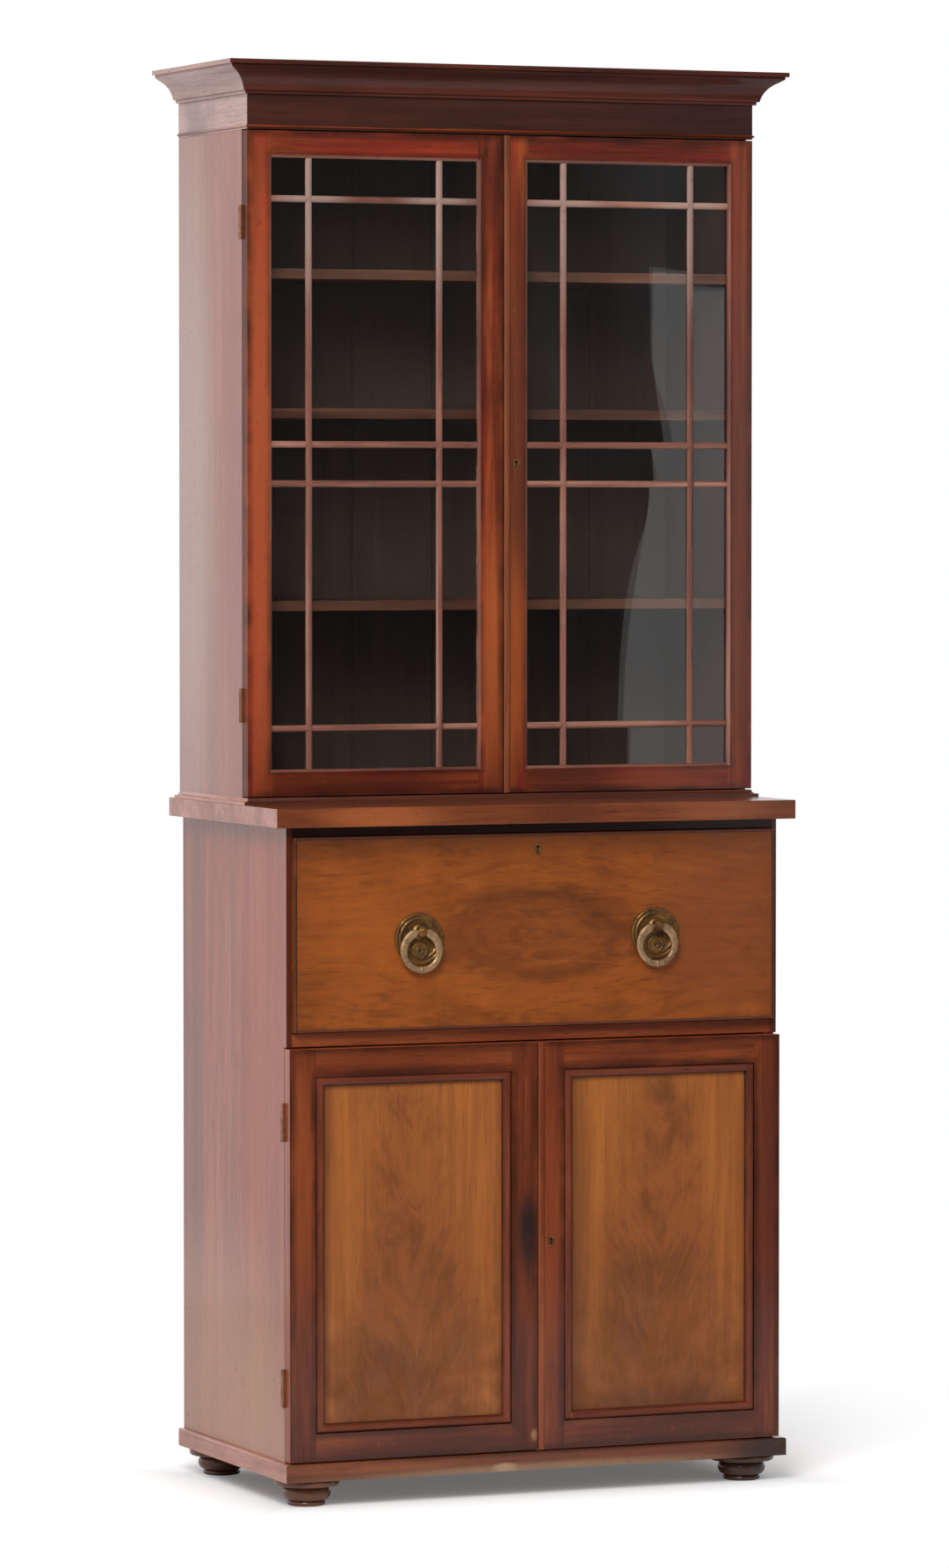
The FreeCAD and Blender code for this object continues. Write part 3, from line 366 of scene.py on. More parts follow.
def polish(shader, colour, roughness, coat, coat_roughness, gloss, relief):
    """Plugs polished wood together: a colour with relief under a clear coat."""
    plug(shader, {"Base Color": colour, "Roughness": roughness, "Coat Weight": coat,
                  "Coat Roughness": coat_roughness, "Specular IOR Level": gloss, "Normal": relief})


def mahogany(name, tones, run="z", seed=0.0, coat=0.8, gloss=0.2, stains=(), return_tones=None,
             grimy_frame=None, lip_tones=None, edge_tones=None, inside=None, flame=None,
             dark_front=None, **turns):
    material, shader, place = new_finish(name)
    squeezed = grain_direction(place, run, **turns)
    grain = moved(squeezed, (seed, seed * 1.7, seed * 0.6))
    ribbon = noise(grain, 11.0, 2.0, 0.5, 0.3)
    streak = noise(grain, 75.0, 6.0, 0.62, 0.5)
    mottle = noise(moved(squeezed, (seed * 2.0, seed, 0.0)), 24.0, 3.0, 0.5, 0.6)
    pores = pore_mask(grain, 0.6)
    age = noise(moved(place, (seed, seed, seed)), 4.5, 4.0, 0.6)
    tone = step(ribbon * 0.3 + streak * 0.4 + mottle * 0.3, 0.32, 0.68)
    colour, deep = ramp(tone, tones), paint(*tones[0])
    if flame:
        licks = noise(moved(grain, (seed, 0.0, seed)), 34.0, 3.0, 0.6, 1.0)
        colour = blend(step(licks, 0.47, 0.62) * 0.7, colour, ramp(tone, flame))
    if return_tones:
        colour = blend(past_mitre(place, turns["mitre"]), colour, ramp(tone, return_tones))
    if inside:
        half_width, inside_tones = inside
        within = abs(axes(place)[0]) < half_width
        colour = blend(within, colour, ramp(tone, inside_tones))
        deep = blend(within, deep, paint(*inside_tones[0]))
    colour = blend(pores * 0.7, colour, PORE_SHADE, "MULTIPLY")
    colour = blend(step(age, 0.5, 0.75) * 0.45, colour, deep)
    colour = stained(colour, place, stains)
    # A thin band of painted shade on a side's front edge, where it meets the doors.
    if dark_front:
        front = step(axes(place)[1], dark_front, dark_front - 0.0008)
        colour = blend(front * 0.85, colour, darker(tones[0], 0.3))
    # Frame edges darken with dirt and painted shade.
    if grimy_frame:
        rim = from_rim(place, name)
        colour = grimy(colour, place, rim, grimy_frame, tones[0])
        if edge_tones:
            colour = blend(step(rim, 0.0008, 0.0003), colour, ramp(tone, edge_tones))
        else:
            coat = step(rim, 0.0002, 0.0016) * coat
        if lip_tones:
            colour = blend(lip_highlight_mask(rim, grimy_frame, ribbon) * 0.8, colour, ramp(tone, lip_tones))
    worn_coat = (0.55 + noise(grain, 14.0, 3.0) * 0.45) * coat
    relief = bump(streak * 0.5 - pores, 0.25, 0.0004)
    polish(shader, colour, 0.3 + age * 0.15 + pores * 0.15, worn_coat, 0.14, gloss, relief)
    return material


print("mahogany recipe ready")

# %% [markdown]
# ## Feather panels
# The cupboard panels are cut from the fork of a tree, where the grain spreads like a feather: a dark plume,
# wide at the foot and narrow above, between golden margins. A noise alone gives no plume, so the figure is
# made as a field: one number that is constant along a grain line, fed to a noise, so that the streaks follow
# the line instead of running straight.

# %% The feather recipe
PANEL_GOLD = paint(166, 98, 42)
PANEL_BROWN = paint(100, 55, 28)
PANEL_RED = paint(144, 81, 38)
PANEL_SHADE = paint(84, 46, 26)
PANEL_PORE = paint(66, 38, 22)


def feather_panel(node, seed, shades):
    """A figured panel; each shade is a centre and a reach of painted shade on its margin beside the frame."""
    low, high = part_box(node)
    centre, half_width = (low.x + high.x) / 2, (high.x - low.x) / 2
    material, shader, place = new_finish(node)
    x, y, z = axes(place)
    wander = noise(moved(place, (seed, 0, seed)), 5.0, 4.0, 0.6) - 0.5
    across = abs((x - centre) / half_width + wander * 0.35)
    rise = (z - low.z) / (high.z - low.z)
    line = rise - across * 0.5 + wander * 0.22
    plume_width = 0.82 - rise * 0.62
    plume = step(across - plume_width + wander * 0.9, 0.24, -0.26)
    feather = noise(joined(across * 1.6, line * 5.0, seed), 3.0, 5.0, 0.55, 0.8)
    grain = scaled(place, STRETCH["z"])
    straight = noise(moved(grain, (seed, seed, seed)), 80.0, 6.0, 0.6, 0.3)
    cloud = noise(moved(place, (seed, seed, 0)), 22.0, 5.0, 0.62)
    broad = noise(moved(place, (0, seed, seed)), 8.0, 3.0, 0.5)
    pores = pore_mask(grain)
    margin = blend(step(straight, 0.3, 0.7), PANEL_RED, PANEL_GOLD)
    heart = blend(step(feather * 0.35 + cloud * 0.3 + broad * 0.35, 0.36, 0.6), PANEL_BROWN, PANEL_RED)
    low_cloud = step(cloud, 0.3, 0.7) * step(rise, 0.75, 0.0)
    margin_shade = [(spot(place, middle, reach) * 0.5, PANEL_SHADE) for middle, reach in shades]
    # Painted shade darkens the panel beside the frame: towards both side margins, and at each listed shade.
    colour = layered(margin, (plume * 0.85, heart), (low_cloud * 0.65, PANEL_BROWN),
                     (pores * 0.35, PANEL_PORE), (step(across, 0.78, 0.92) * 0.4, PANEL_BROWN), *margin_shade)
    relief = bump(straight * 0.5 - pores, 0.2, 0.0003)
    polish(shader, colour, 0.36 + cloud * 0.15, step(cloud, 0.75, 0.3) * 0.45, 0.16, 0.2, relief)
    return material


print("feather recipe ready")

# %% [markdown]
# ## The oval drawer front
# The front of the desk drawer shows the same fork of the tree cut across: an oval in its middle, with the
# grain parting round it like water round a stone. Two fields make it, one that counts outward through the
# oval and one that runs along the grain and spreads where the oval pushes it apart.

# %% The oval's fields
OVAL_HALF_WIDTH = 0.165
OVAL_HALF_HEIGHT = 0.066
OVAL_DROP = 0.008
PARTING_REACH = 0.36


def oval_fields(place, middle):
    """How far out of the oval a place is, 1 at its rim, and which grain line runs through the place."""
    x, y, z = axes(place)
    side, height = abs(x), z - (middle.z - OVAL_DROP)
    wander = noise(place, 7.0, 4.0, 0.6) - 0.5
    round_it = (side / OVAL_HALF_WIDTH) ** 2.0 + (abs(height) / OVAL_HALF_HEIGHT) ** 2.0
    reach = round_it ** 0.5 + wander * 0.5
    parting = height * (1 - step(side, PARTING_REACH, 0.0) * 0.45) + wander * 0.012
    return reach, parting


print("oval", OVAL_HALF_WIDTH * 2, "by", OVAL_HALF_HEIGHT * 2, "m")

# %% The drawer front recipe
DRAWER_ORANGE = paint(144, 74, 23)
DRAWER_BROWN = paint(106, 53, 20)
DRAWER_DEEP = paint(80, 40, 16)
DRAWER_LIGHT = paint(166, 90, 34)
OVAL_ORANGE = paint(128, 67, 25)
DRAWER_PORE = paint(48, 24, 12)
DULL_BROWN, SUNNY_ORANGE = paint(116, 62, 36), paint(160, 84, 28)


def oval_front(node):
    low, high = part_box(node)
    middle = (low + high) / 2
    material, shader, place = new_finish(node)
    x, y, z = axes(place)
    side = abs(x)
    reach, parting = oval_fields(place, middle)
    streak = noise(joined(side * 3.2, parting * 60.0, 0.3), 1.0, 5.0, 0.5, 0.4)
    rings = noise(joined(reach * 3.0, side * 3.0, 1.7), 2.2, 5.0, 0.6)
    cloud = noise(place, 16.0, 5.0, 0.62)
    flecks = noise(moved(scaled(place, (0.3, 1.0, 1.0)), (0.0, 0.0, 2.3)), 46.0, 4.0, 0.62, 0.8)
    pores = pore_mask(scaled(place, STRETCH["x"]))
    field = blend(step(streak * 0.6 + cloud * 0.4, 0.25, 0.62), DRAWER_BROWN, DRAWER_ORANGE)
    within = blend(step(rings * 0.6 + cloud * 0.4, 0.36, 0.62), DRAWER_BROWN, OVAL_ORANGE)
    rim = step(reach, 0.72, 0.98) * step(reach, 1.3, 1.0) * step(cloud, 0.3, 0.6)
    heart = step(abs(reach - 0.55), 0.2, 0.0) * step(side, 0.08, 0.0)
    dark_flecks = step(flecks, 0.5, 0.72) * step(noise(place, 5.0, 2.0), 0.35, 0.6)
    dull = spot(place, (0.33, low.y, middle.z), (0.2, 0.1, 0.2))
    sunny = spot(place, (-0.26, low.y, middle.z - 0.02), (0.17, 0.1, 0.12))
    # The darker band over the top 6 cm of the drawer front is painted shadow from the overhanging top board.
    colour = layered(
        field, (step(reach, 1.12, 0.75) * 0.85, within), (rim * 0.6, DRAWER_DEEP),
        (heart * 0.45, DRAWER_DEEP), (dark_flecks * 0.6, DRAWER_DEEP),
        (step(flecks, 0.48, 0.3) * 0.3, DRAWER_LIGHT),
        (pores * 0.4, DRAWER_PORE), (step(z, high.z - 0.06, high.z) * 0.75, DRAWER_DEEP),
        (step(side, high.x - 0.05, high.x) * 0.3, DRAWER_BROWN), (dull * 0.5, DULL_BROWN),
        (sunny * 0.35, SUNNY_ORANGE))
    relief = bump(streak * 0.5 - pores, 0.2, 0.0003)
    polish(shader, colour, 0.34 + cloud * 0.15, step(cloud, 0.75, 0.3) * 0.5, 0.15, 0.2, relief)
    return material


print("drawer front recipe ready")

# %% [markdown]
# ## Lining woods
# Behind the show wood a maker used plainer boards, left dry and grown dark. They are sawn in one width and
# laid side by side, so a step in the coordinates gives each board its own grain and a seam beside it. The
# same wood without seams serves drawer sides and blocks. Modelled gaps would cost many faces that nobody
# sees from nearby.

# %% The lining recipe
BOARD_WIDTH = 0.14


def lining_wood(name, tones, run, seams=None, outside=None):
    """Dry boards: seams names the axis across them, outside gives a back's other face its tones."""
    material, shader, place = new_finish(name)
    x, y, z = axes(place)
    grain = scaled(place, STRETCH[run])
    if seams:
        across = {"x": x, "y": y}[seams] / BOARD_WIDTH
        number = across.sum("FLOOR", across)
        seam = step(abs(across - number - 0.5), 0.488, 0.496)
        grain = moved(grain, joined(number * 3.1, number * 1.3, 0.0))
    streak = noise(grain, 45.0, 6.0, 0.62, 0.6)
    pores = step(noise(grain, 420.0, 2.0), 0.56, 0.7)
    cloud = noise(place, 8.0, 5.0, 0.6)
    tone = step(streak * 0.7 + cloud * 0.3, 0.22, 0.78)
    colour = ramp(tone, tones)
    if outside:
        from_y, outside_tones = outside
        colour = blend(y > from_y, colour, ramp(tone, outside_tones))
    colour = blend(step(cloud, 0.48, 0.72) * 0.5, colour, paint(*tones[0]))
    height = streak * 0.6 - pores * 0.6
    if seams:
        colour = blend(seam * 0.85, colour, darker(tones[0], 0.25))
        height = height - seam * 2.0
    relief = bump(height, 0.35, 0.0006)
    plug(shader, {"Base Color": colour, "Roughness": 0.6 + cloud * 0.25, "Normal": relief})
    return material


print("lining recipe ready, boards", BOARD_WIDTH, "m wide")

# %% [markdown]
# ## Aged metal
# The brass has been handled for a long time, so bare metal and brown patina lie side by side. Two noises of
# different size decide where the patina is, and it is duller and less metallic than the bare brass. Iron for
# the lock bolts is the same recipe in grey.

# %% The metal recipe
def brass(name, bright, dark, wear=0.5, shine=1.0, shaded_hollows=()):
    """Metal with patina; shaded hollows are centres and radii of small pits darkened with painted shade."""
    material, shader, place = new_finish(name)
    cloud = noise(place, 60.0, 5.0, 0.65)
    specks = noise(place, 420.0, 4.0, 0.6)
    patina = step(cloud * 0.65 + specks * 0.35, wear + 0.14, wear - 0.12)
    scratches = noise(scaled(place, (1.0, 1.0, 0.2)), 900.0, 2.0, 0.5)
    colour = blend(patina, paint(*bright), paint(*dark))
    for centre, radius in shaded_hollows:
        colour = blend(spot(place, centre, (radius, radius, radius)) * 0.9, colour, darker(dark, 0.25))
    plug(shader, {
        "Base Color": colour,
        "Metallic": (1 - patina * 0.35) * shine,
        "Roughness": 0.3 + patina * 0.28 + scratches * 0.08,
        "Normal": bump(specks - patina * 0.5, 0.18, 0.0003),
    })
    return material


aged_brass = brass("aged_brass", (176, 140, 84), (74, 53, 31))
hinge_brass = brass("hinge_brass", (172, 124, 96), (120, 80, 58), 0.55, 0.5)
lock_iron = brass("lock_iron", (132, 126, 118), (58, 50, 44), 0.5)
print("metals", aged_brass.name, hinge_brass.name, lock_iron.name)

# %% [markdown]
# ## Window glass
# Old crown glass is not flat, so its reflections wander; a wavy bump gives that. Each pane was puttied in by
# hand and leans its own way, so the bump also has a slope of its own for every pane between the bars, drawn
# from the pane's column, row and door. Tilting each pane's mesh would do the same, but the CAD meshes stay as
# they are. Shadow rays pass straight through, so that lamplight reaches the shelves.

# %% Where the panes lie
GLAZED_STILE = 0.042
BAR_INSET = 0.064
MIDDLE_ROW = 0.031
door_low, door_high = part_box("right_glazed_door_frame")
door_middle = (door_low + door_high) / 2
COLUMN_BAR = door_middle.x - door_low.x - GLAZED_STILE - BAR_INSET
OUTER_ROW = door_middle.z - door_low.z - GLAZED_STILE - BAR_INSET
print("glazing bars", round(COLUMN_BAR, 4), "m beside and", round(OUTER_ROW, 4), "m above a door's middle")

# %% The glass
PANE_LEAN = 6.0
window_glass, glass_shader, place = new_finish("window_glass")
x, y, z = axes(place)
across, up = abs(x) - door_middle.x, z - door_middle.z
column = (across > COLUMN_BAR) - (across < -COLUMN_BAR)
row = (up > -OUTER_ROW) + (up > -MIDDLE_ROW) + (up > MIDDLE_ROW) + (up > OUTER_ROW)
pane = joined(column, row, x > 0.0)
lean = axes(pane.node("ShaderNodeTexWhiteNoise", {"noise_dimensions": "3D"}, {"Vector": pane}, "Color"))
waves = noise(scaled(place, (1.0, 1.0, 0.45)), 6.0, 0.0, 0.5)
waves = waves + (lean[0] - 0.5) * across * PANE_LEAN + (lean[1] - 0.5) * up * PANE_LEAN
smears = noise(scaled(place, (1.0, 1.0, 0.5)), 30.0, 5.0, 0.65)
plug(glass_shader, {
    "Base Color": paint(246, 249, 246),
    "Roughness": step(smears, 0.55, 0.8) * 0.06,
    "IOR": 1.5,
    "Transmission Weight": 1.0,
    "Normal": bump(waves, 0.25, 0.004),
})
shadow_ray = place.node("ShaderNodeLightPath", output="Is Shadow Ray")
solid = Wire(window_glass.node_tree, glass_shader.outputs[0])
clear = place.node("ShaderNodeBsdfTransparent", None, {"Color": paint(236, 240, 236)})
show(window_glass, place.node("ShaderNodeMixShader", None, {0: shadow_ray, 1: solid, 2: clear}))
print("glass ready")

# %% [markdown]
# ## Writing leather
# The inside of the fall is covered with green leather, and two gilt lines are tooled inside its edge with a
# hot wheel. The lines follow the distance from the edge, so they turn the corners by themselves, and a noise
# wears them away here and there. Small cells make the pebbled skin.

# %% The leather
GILT_LINES = ((0.012, 0.0011, 0.0006), (0.017, 0.0006, 0.0003))
desk_leather, leather_shader, place = new_finish("desk_leather")
from_edge = from_rim(place, "writing_leather")
pebbles = place.node("ShaderNodeTexVoronoi", {"feature": "F1"}, {"Vector": place, "Scale": 650.0}, "Distance")
worn = noise(place, 14.0, 5.0, 0.62)
green = blend(step(worn, 0.3, 0.7), paint(38, 62, 44), paint(66, 88, 58))
broad_line, thin_line = [step(abs(from_edge - inset), outer, inner) for inset, outer, inner in GILT_LINES]
gilt = (broad_line + thin_line) * step(noise(place, 160.0, 3.0), 0.3, 0.45)
plug(leather_shader, {
    "Base Color": blend(gilt, green, paint(188, 150, 84)),
    "Metallic": gilt * 0.8,
    "Roughness": 0.5 + worn * 0.2 - gilt * 0.15,
    "Normal": bump(pebbles - gilt * 0.4, 0.4, 0.0004),
})
print("leather ready, gilt lines", [inset for inset, outer, inner in GILT_LINES], "m from its edge")

# %% [markdown]
# ## Dressing the doors
# Each node gets the finish of the piece it is. The upper doors are the reddest, with licks of a brighter red,
# and grey painted highlights lie on the upright glazing bars near the top. Stains lie mostly along the stiles
# and at the foot of each door. They are listed as places in the cabinet, each with a reach, a colour and a
# strength.

# %% Helpers for dressing
def dress(node, material):
    slots = nodes[node].data.materials
    slots.clear()
    slots.append(material)


def veneer(node, tones, *recipe, **extras):
    """Dresses a node in mahogany of its own."""
    dress(node, mahogany(node, tones, *recipe, **extras))


def frame_turn(node, stile):
    """Where a door's rails lie: the door's middle and half the clear width between its stiles."""
    low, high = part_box(node)
    return (low.x + high.x) / 2, (high.x - low.x) / 2 - stile


FACE_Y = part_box("left_glazed_door_frame")[0].y
LOW_FACE_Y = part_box("left_cupboard_door_frame")[0].y
print("door faces at", round(FACE_Y, 4), "and", round(LOW_FACE_Y, 4))

# %% Glazed doors
DOOR_RED = [(56, 18, 7), (110, 43, 18), (160, 75, 30)]
FLAME_RED = [(84, 18, 10), (126, 30, 18), (152, 46, 26)]
BAR_BROWN = [(74, 41, 31), (128, 80, 66), (174, 128, 110)]
BAR_HIGHLIGHT_GREY = (176, 150, 138)
HALF_BAR = 0.006
glazed_stains = {
    "left": [
        ((-0.412, FACE_Y, 1.62), (0.04, 0.06, 0.75), (178, 86, 48), 0.6),
        ((-0.022, FACE_Y, 1.33), (0.04, 0.06, 0.3), (166, 84, 36), 0.6),
        ((-0.218, FACE_Y, 1.118), (0.26, 0.06, 0.05), (70, 24, 10), 0.75),
        ((-0.24, FACE_Y, 2.128), (0.16, 0.06, 0.03), (110, 24, 20), 0.5)],
    "right": [
        ((0.022, FACE_Y, 1.7), (0.045, 0.06, 0.6), (84, 40, 24), 0.7),
        ((0.11, FACE_Y, 1.118), (0.12, 0.06, 0.05), (78, 34, 18), 0.6),
        ((0.27, FACE_Y, 1.12), (0.11, 0.06, 0.03), (128, 60, 27), 0.5),
        ((0.02, FACE_Y, 1.32), (0.03, 0.06, 0.24), (156, 76, 30), 0.6),
        ((0.415, FACE_Y, 1.5), (0.04, 0.06, 0.6), (86, 42, 26), 0.7),
        ((0.415, FACE_Y, 2.02), (0.04, 0.06, 0.25), (112, 60, 46), 0.5)],
}
for number, side in enumerate(("left", "right")):
    glazed, bars = side + "_glazed_door_frame", side + "_glazing_bars"
    middle, opening = frame_turn(glazed, GLAZED_STILE)
    # The pale tone on the inner lip of a glazed frame is a painted highlight.
    veneer(glazed, DOOR_RED, seed=1.3 + number, stains=glazed_stains[side], grimy_frame=GLAZED_STILE,
           lip_tones=BAR_BROWN, flame=FLAME_RED, rails=(middle, opening))
    upright = opening - BAR_INSET
    # Grey patches on the upper upright bars are painted highlights.
    bar_highlights = [((middle + upright * way, FACE_Y, 2.1), (0.09, 0.05, 0.3), BAR_HIGHLIGHT_GREY, 0.5) for way in (-1, 1)]
    veneer(bars, BAR_BROWN, seed=5.2 + number, coat=1.0, stains=bar_highlights, bars=(middle, upright, HALF_BAR))
    dress(side + "_panes", window_glass)
print("glazed doors dressed")

# %% Cupboard doors
FRAME_BROWN = [(64, 25, 11), (108, 47, 21), (148, 73, 33)]
SIDE_WOOD = [(112, 46, 24), (148, 66, 34), (172, 88, 50)]
MOULD_RED = [(72, 28, 15), (102, 45, 25), (128, 64, 38)]
CUPBOARD_STILE = 0.044
MOULDING_WIDTH = 0.015
PANEL_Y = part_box("right_cupboard_panel")[0].y
cupboard_stains = {
    "left": [
        ((-0.016, LOW_FACE_Y, 0.42), (0.026, 0.05, 0.085), (34, 24, 24), 0.9),
        ((-0.006, LOW_FACE_Y, 0.095), (0.008, 0.04, 0.014), (196, 140, 92), 0.95),
        ((-0.21, LOW_FACE_Y, 0.08), (0.3, 0.06, 0.05), (72, 25, 11), 0.85),
        ((-0.21, LOW_FACE_Y, 0.71), (0.26, 0.06, 0.05), (90, 36, 12), 0.6),
        ((-0.4, LOW_FACE_Y, 0.5), (0.035, 0.06, 0.3), (144, 70, 32), 0.5)],
    "right": [
        ((0.21, LOW_FACE_Y, 0.08), (0.3, 0.06, 0.05), (70, 26, 14), 0.85),
        ((0.02, LOW_FACE_Y, 0.42), (0.03, 0.06, 0.34), (146, 66, 32), 0.5),
        ((0.4, LOW_FACE_Y, 0.4), (0.04, 0.06, 0.4), (88, 40, 30), 0.6)],
}
# Painted shade on the panel margins beside the frame.
panel_painted_shade = {
    "left": [((-0.36, PANEL_Y, 0.4), (0.014, 0.05, 0.6))],
    "right": [((0.065, PANEL_Y, 0.4), (0.038, 0.05, 0.6)), ((0.21, PANEL_Y, 0.13), (0.2, 0.05, 0.05))],
}
for number, side in enumerate(("left", "right")):
    cupboard, panel = side + "_cupboard_door_frame", side + "_cupboard_panel"
    moulding = side + "_panel_moulding"
    veneer(cupboard, FRAME_BROWN, seed=3.1 + number, stains=cupboard_stains[side], edge_tones=SIDE_WOOD,
           grimy_frame=CUPBOARD_STILE, rails=frame_turn(cupboard, CUPBOARD_STILE))
    veneer(moulding, MOULD_RED, seed=6.4 + number, coat=0.4, grimy_frame=MOULDING_WIDTH,
           rails=frame_turn(moulding, MOULDING_WIDTH))
    dress(panel, feather_panel(panel, 2.0 + 4.7 * number, panel_painted_shade[side]))
print("cupboard doors dressed")

# %% [markdown]
# ## Carcass, cornice and feet
# The cornice and frieze are nearly black with old polish in front and grey at their ends, where a pale tone
# is painted glare, and the plinth is worn pale along its foot. A mitred moulding changes its tones exactly at
# the mitre, so its end pieces can take paler tones of painted glare without a second mesh.

# %% Rails, beads and feet
RAIL_BROWN = [(92, 40, 20), (128, 59, 30), (158, 83, 44)]
DARK_POLISH = [(36, 15, 10), (53, 24, 17), (70, 33, 23)]
BOARD_WOOD = [(84, 40, 20), (114, 57, 29), (144, 79, 42)]
DEEP_BROWN = [(52, 22, 13), (76, 35, 21), (98, 49, 30)]
FOOT_BROWN = [(64, 33, 19), (98, 56, 34), (126, 79, 51)]
PLINTH_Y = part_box("plinth")[0].y
# The fall's cock bead is deep brown, partly its own dark polish and partly painted shade of the gaps beside
# it.
for node, tones, run, seed in (
        ("drawer_divider", RAIL_BROWN, "x", 4.1), ("drawer_rail", DARK_POLISH, "x", 4.8),
        ("glazed_meeting_bead", BOARD_WOOD, "z", 6.6), ("cupboard_meeting_bead", FRAME_BROWN, "z", 7.1),
        ("fall_cock_bead", DEEP_BROWN, "x", 7.7)):
    veneer(node, tones, run, seed)
foot_stains = [
    ((0.38, PLINTH_Y, 0.02), (0.12, 0.14, 0.07), (46, 30, 23), 0.8),
    ((-0.38, PLINTH_Y, 0.02), (0.12, 0.14, 0.07), (132, 86, 62), 0.35)]
veneer("bun_feet", FOOT_BROWN, "z", 5.5, stains=foot_stains)
dress("fall_front", oval_front("fall_front"))
print("rails, beads and feet dressed")

# %% Mitred mouldings and the top board
CORNICE_BROWN = [(46, 18, 12), (70, 30, 22), (94, 44, 32)]
# The pale end tones are painted glare of the white room on the end faces.
GLARE_SIDE = [(152, 116, 108), (182, 142, 134), (206, 168, 160)]
PALE_GLARE_SIDE = [(142, 88, 75), (174, 114, 99), (198, 140, 123)]
TOP_BROWN = [(76, 34, 17), (104, 50, 25), (132, 70, 37)]
END_FACE = 0.0006
board_low, board_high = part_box("top_board")


def corner(node):
    """The front right corner of a moulding, where its mitre begins."""
    low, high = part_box(node)
    return high.x, low.y


plinth_stains = [
    ((-0.06, PLINTH_Y, 0.046), (0.03, 0.02, 0.012), (206, 168, 132), 0.9),
    ((0.0, PLINTH_Y, 0.042), (0.5, 0.05, 0.017), (144, 114, 88), 0.75),
    ((0.0, PLINTH_Y, 0.07), (0.5, 0.03, 0.009), (64, 34, 24), 0.7),
    ((0.42, PLINTH_Y, 0.055), (0.14, 0.14, 0.09), (36, 20, 16), 0.9)]
for node, tones, end_tones, seed, coat, stains in (
        ("cornice", CORNICE_BROWN, GLARE_SIDE, 8.3, 0.42, ()),
        ("frieze", DARK_POLISH, GLARE_SIDE, 8.9, 0.8, ()),
        ("base_moulding", DEEP_BROWN, PALE_GLARE_SIDE, 9.4, 0.8, ()),
        ("plinth", BOARD_WOOD, PALE_GLARE_SIDE, 9.9, 0.8, plinth_stains)):
    veneer(node, tones, "x", seed, coat, stains=stains, return_tones=end_tones, mitre=corner(node))
board_stains = [
    ((-0.27, board_low.y, 1.078), (0.15, 0.03, 0.03), (168, 92, 48), 0.6),
    ((0.05, board_low.y, 1.078), (0.11, 0.03, 0.03), (78, 34, 20), 0.55),
    ((0.31, board_low.y, 1.078), (0.12, 0.03, 0.03), (146, 80, 46), 0.45)]
# The top board's end faces take the pale tones of painted glare; its front and top take TOP_BROWN.
veneer("top_board", PALE_GLARE_SIDE, "x", 3.6, stains=board_stains, inside=(board_high.x - END_FACE, TOP_BROWN))
print("mouldings and top board dressed")

# %% [markdown]
# ## Sides and insides
# The sides are paler than the front, partly from pale patches of painted glare, with light and dark bands
# from top to bottom, and a thin line of painted shade on their front edges where they meet the doors. Their
# inner
# faces look like another wood: bare pine in the cupboard, dark stain in the bookcase. One board can show
# both, because a mask finds the inner face by its distance from the middle.

# %% Side boards
INSIDE_DARK = [(38, 21, 16), (52, 31, 24), (66, 39, 29)]
PINE = [(104, 74, 46), (138, 102, 66), (160, 124, 84)]
SIDE_BOARD = 0.018
INNER_FACE = 0.0005
FRONT_EDGE = 0.0016
# The pale grey-pink patches, at the foot of the cupboard side and on the back half of the bookcase side, are
# painted glare.
cupboard_side_stains = [
    ((-0.42, 0.2, 0.6), (0.05, 0.1, 0.7), (104, 40, 30), 0.5),
    ((-0.42, -0.13, 0.75), (0.05, 0.16, 0.6), (150, 56, 16), 0.7),
    ((-0.42, 0.05, 0.1), (0.05, 0.6, 0.4), (190, 146, 122), 0.65)]
bookcase_side_stains = [
    ((-0.435, 0.17, 1.6), (0.05, 0.15, 0.8), (172, 140, 128), 0.75),
    ((-0.435, -0.03, 1.6), (0.05, 0.09, 0.9), (130, 40, 26), 0.7)]
for node, seed, coat, inside_tones, stains in (
        ("cupboard_sides", 0.4, 0.7, PINE, cupboard_side_stains),
        ("bookcase_sides", 2.2, 0.95, INSIDE_DARK, bookcase_side_stains)):
    side_low, side_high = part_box(node)
    veneer(node, SIDE_WOOD, "z", seed, coat=coat, gloss=coat / 2, stains=stains,
           inside=(side_high.x - SIDE_BOARD + INNER_FACE, inside_tones), dark_front=side_low.y + FRONT_EDGE)
print("sides dressed")

# %% Linings and shelves
CEDAR = [(112, 66, 40), (142, 88, 54), (164, 108, 70)]
BACK_BROWN = [(78, 52, 34), (104, 72, 48), (126, 92, 62)]
SHELF_EDGE = [(54, 29, 21), (74, 42, 31), (92, 55, 40)]
UPPER_EDGE = [(64, 37, 28), (90, 55, 42), (110, 70, 54)]
back_low, back_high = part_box("bookcase_back")
dress("bookcase_back", lining_wood("bookcase_back", INSIDE_DARK, "z", "x",
                                   outside=((back_low.y + back_high.y) / 2, BACK_BROWN)))
for node, tones, run, seams in (
        ("bookcase_floor", INSIDE_DARK, "x", "y"), ("bookcase_top", INSIDE_DARK, "x", "y"),
        ("cupboard_back", PINE, "z", "x"), ("cupboard_floor", PINE, "x", "y"),
        ("cupboard_shelf", PINE, "x", "y"), ("dust_board", PINE, "x", "y"),
        ("drawer_bottom", CEDAR, "x", "y"), ("foot_blocks", PINE, "z", None),
        ("drawer_sides", CEDAR, "y", None), ("drawer_back", CEDAR, "x", None),
        ("pigeonhole_boards", CEDAR, "y", None)):
    dress(node, lining_wood(node, tones, run, seams))
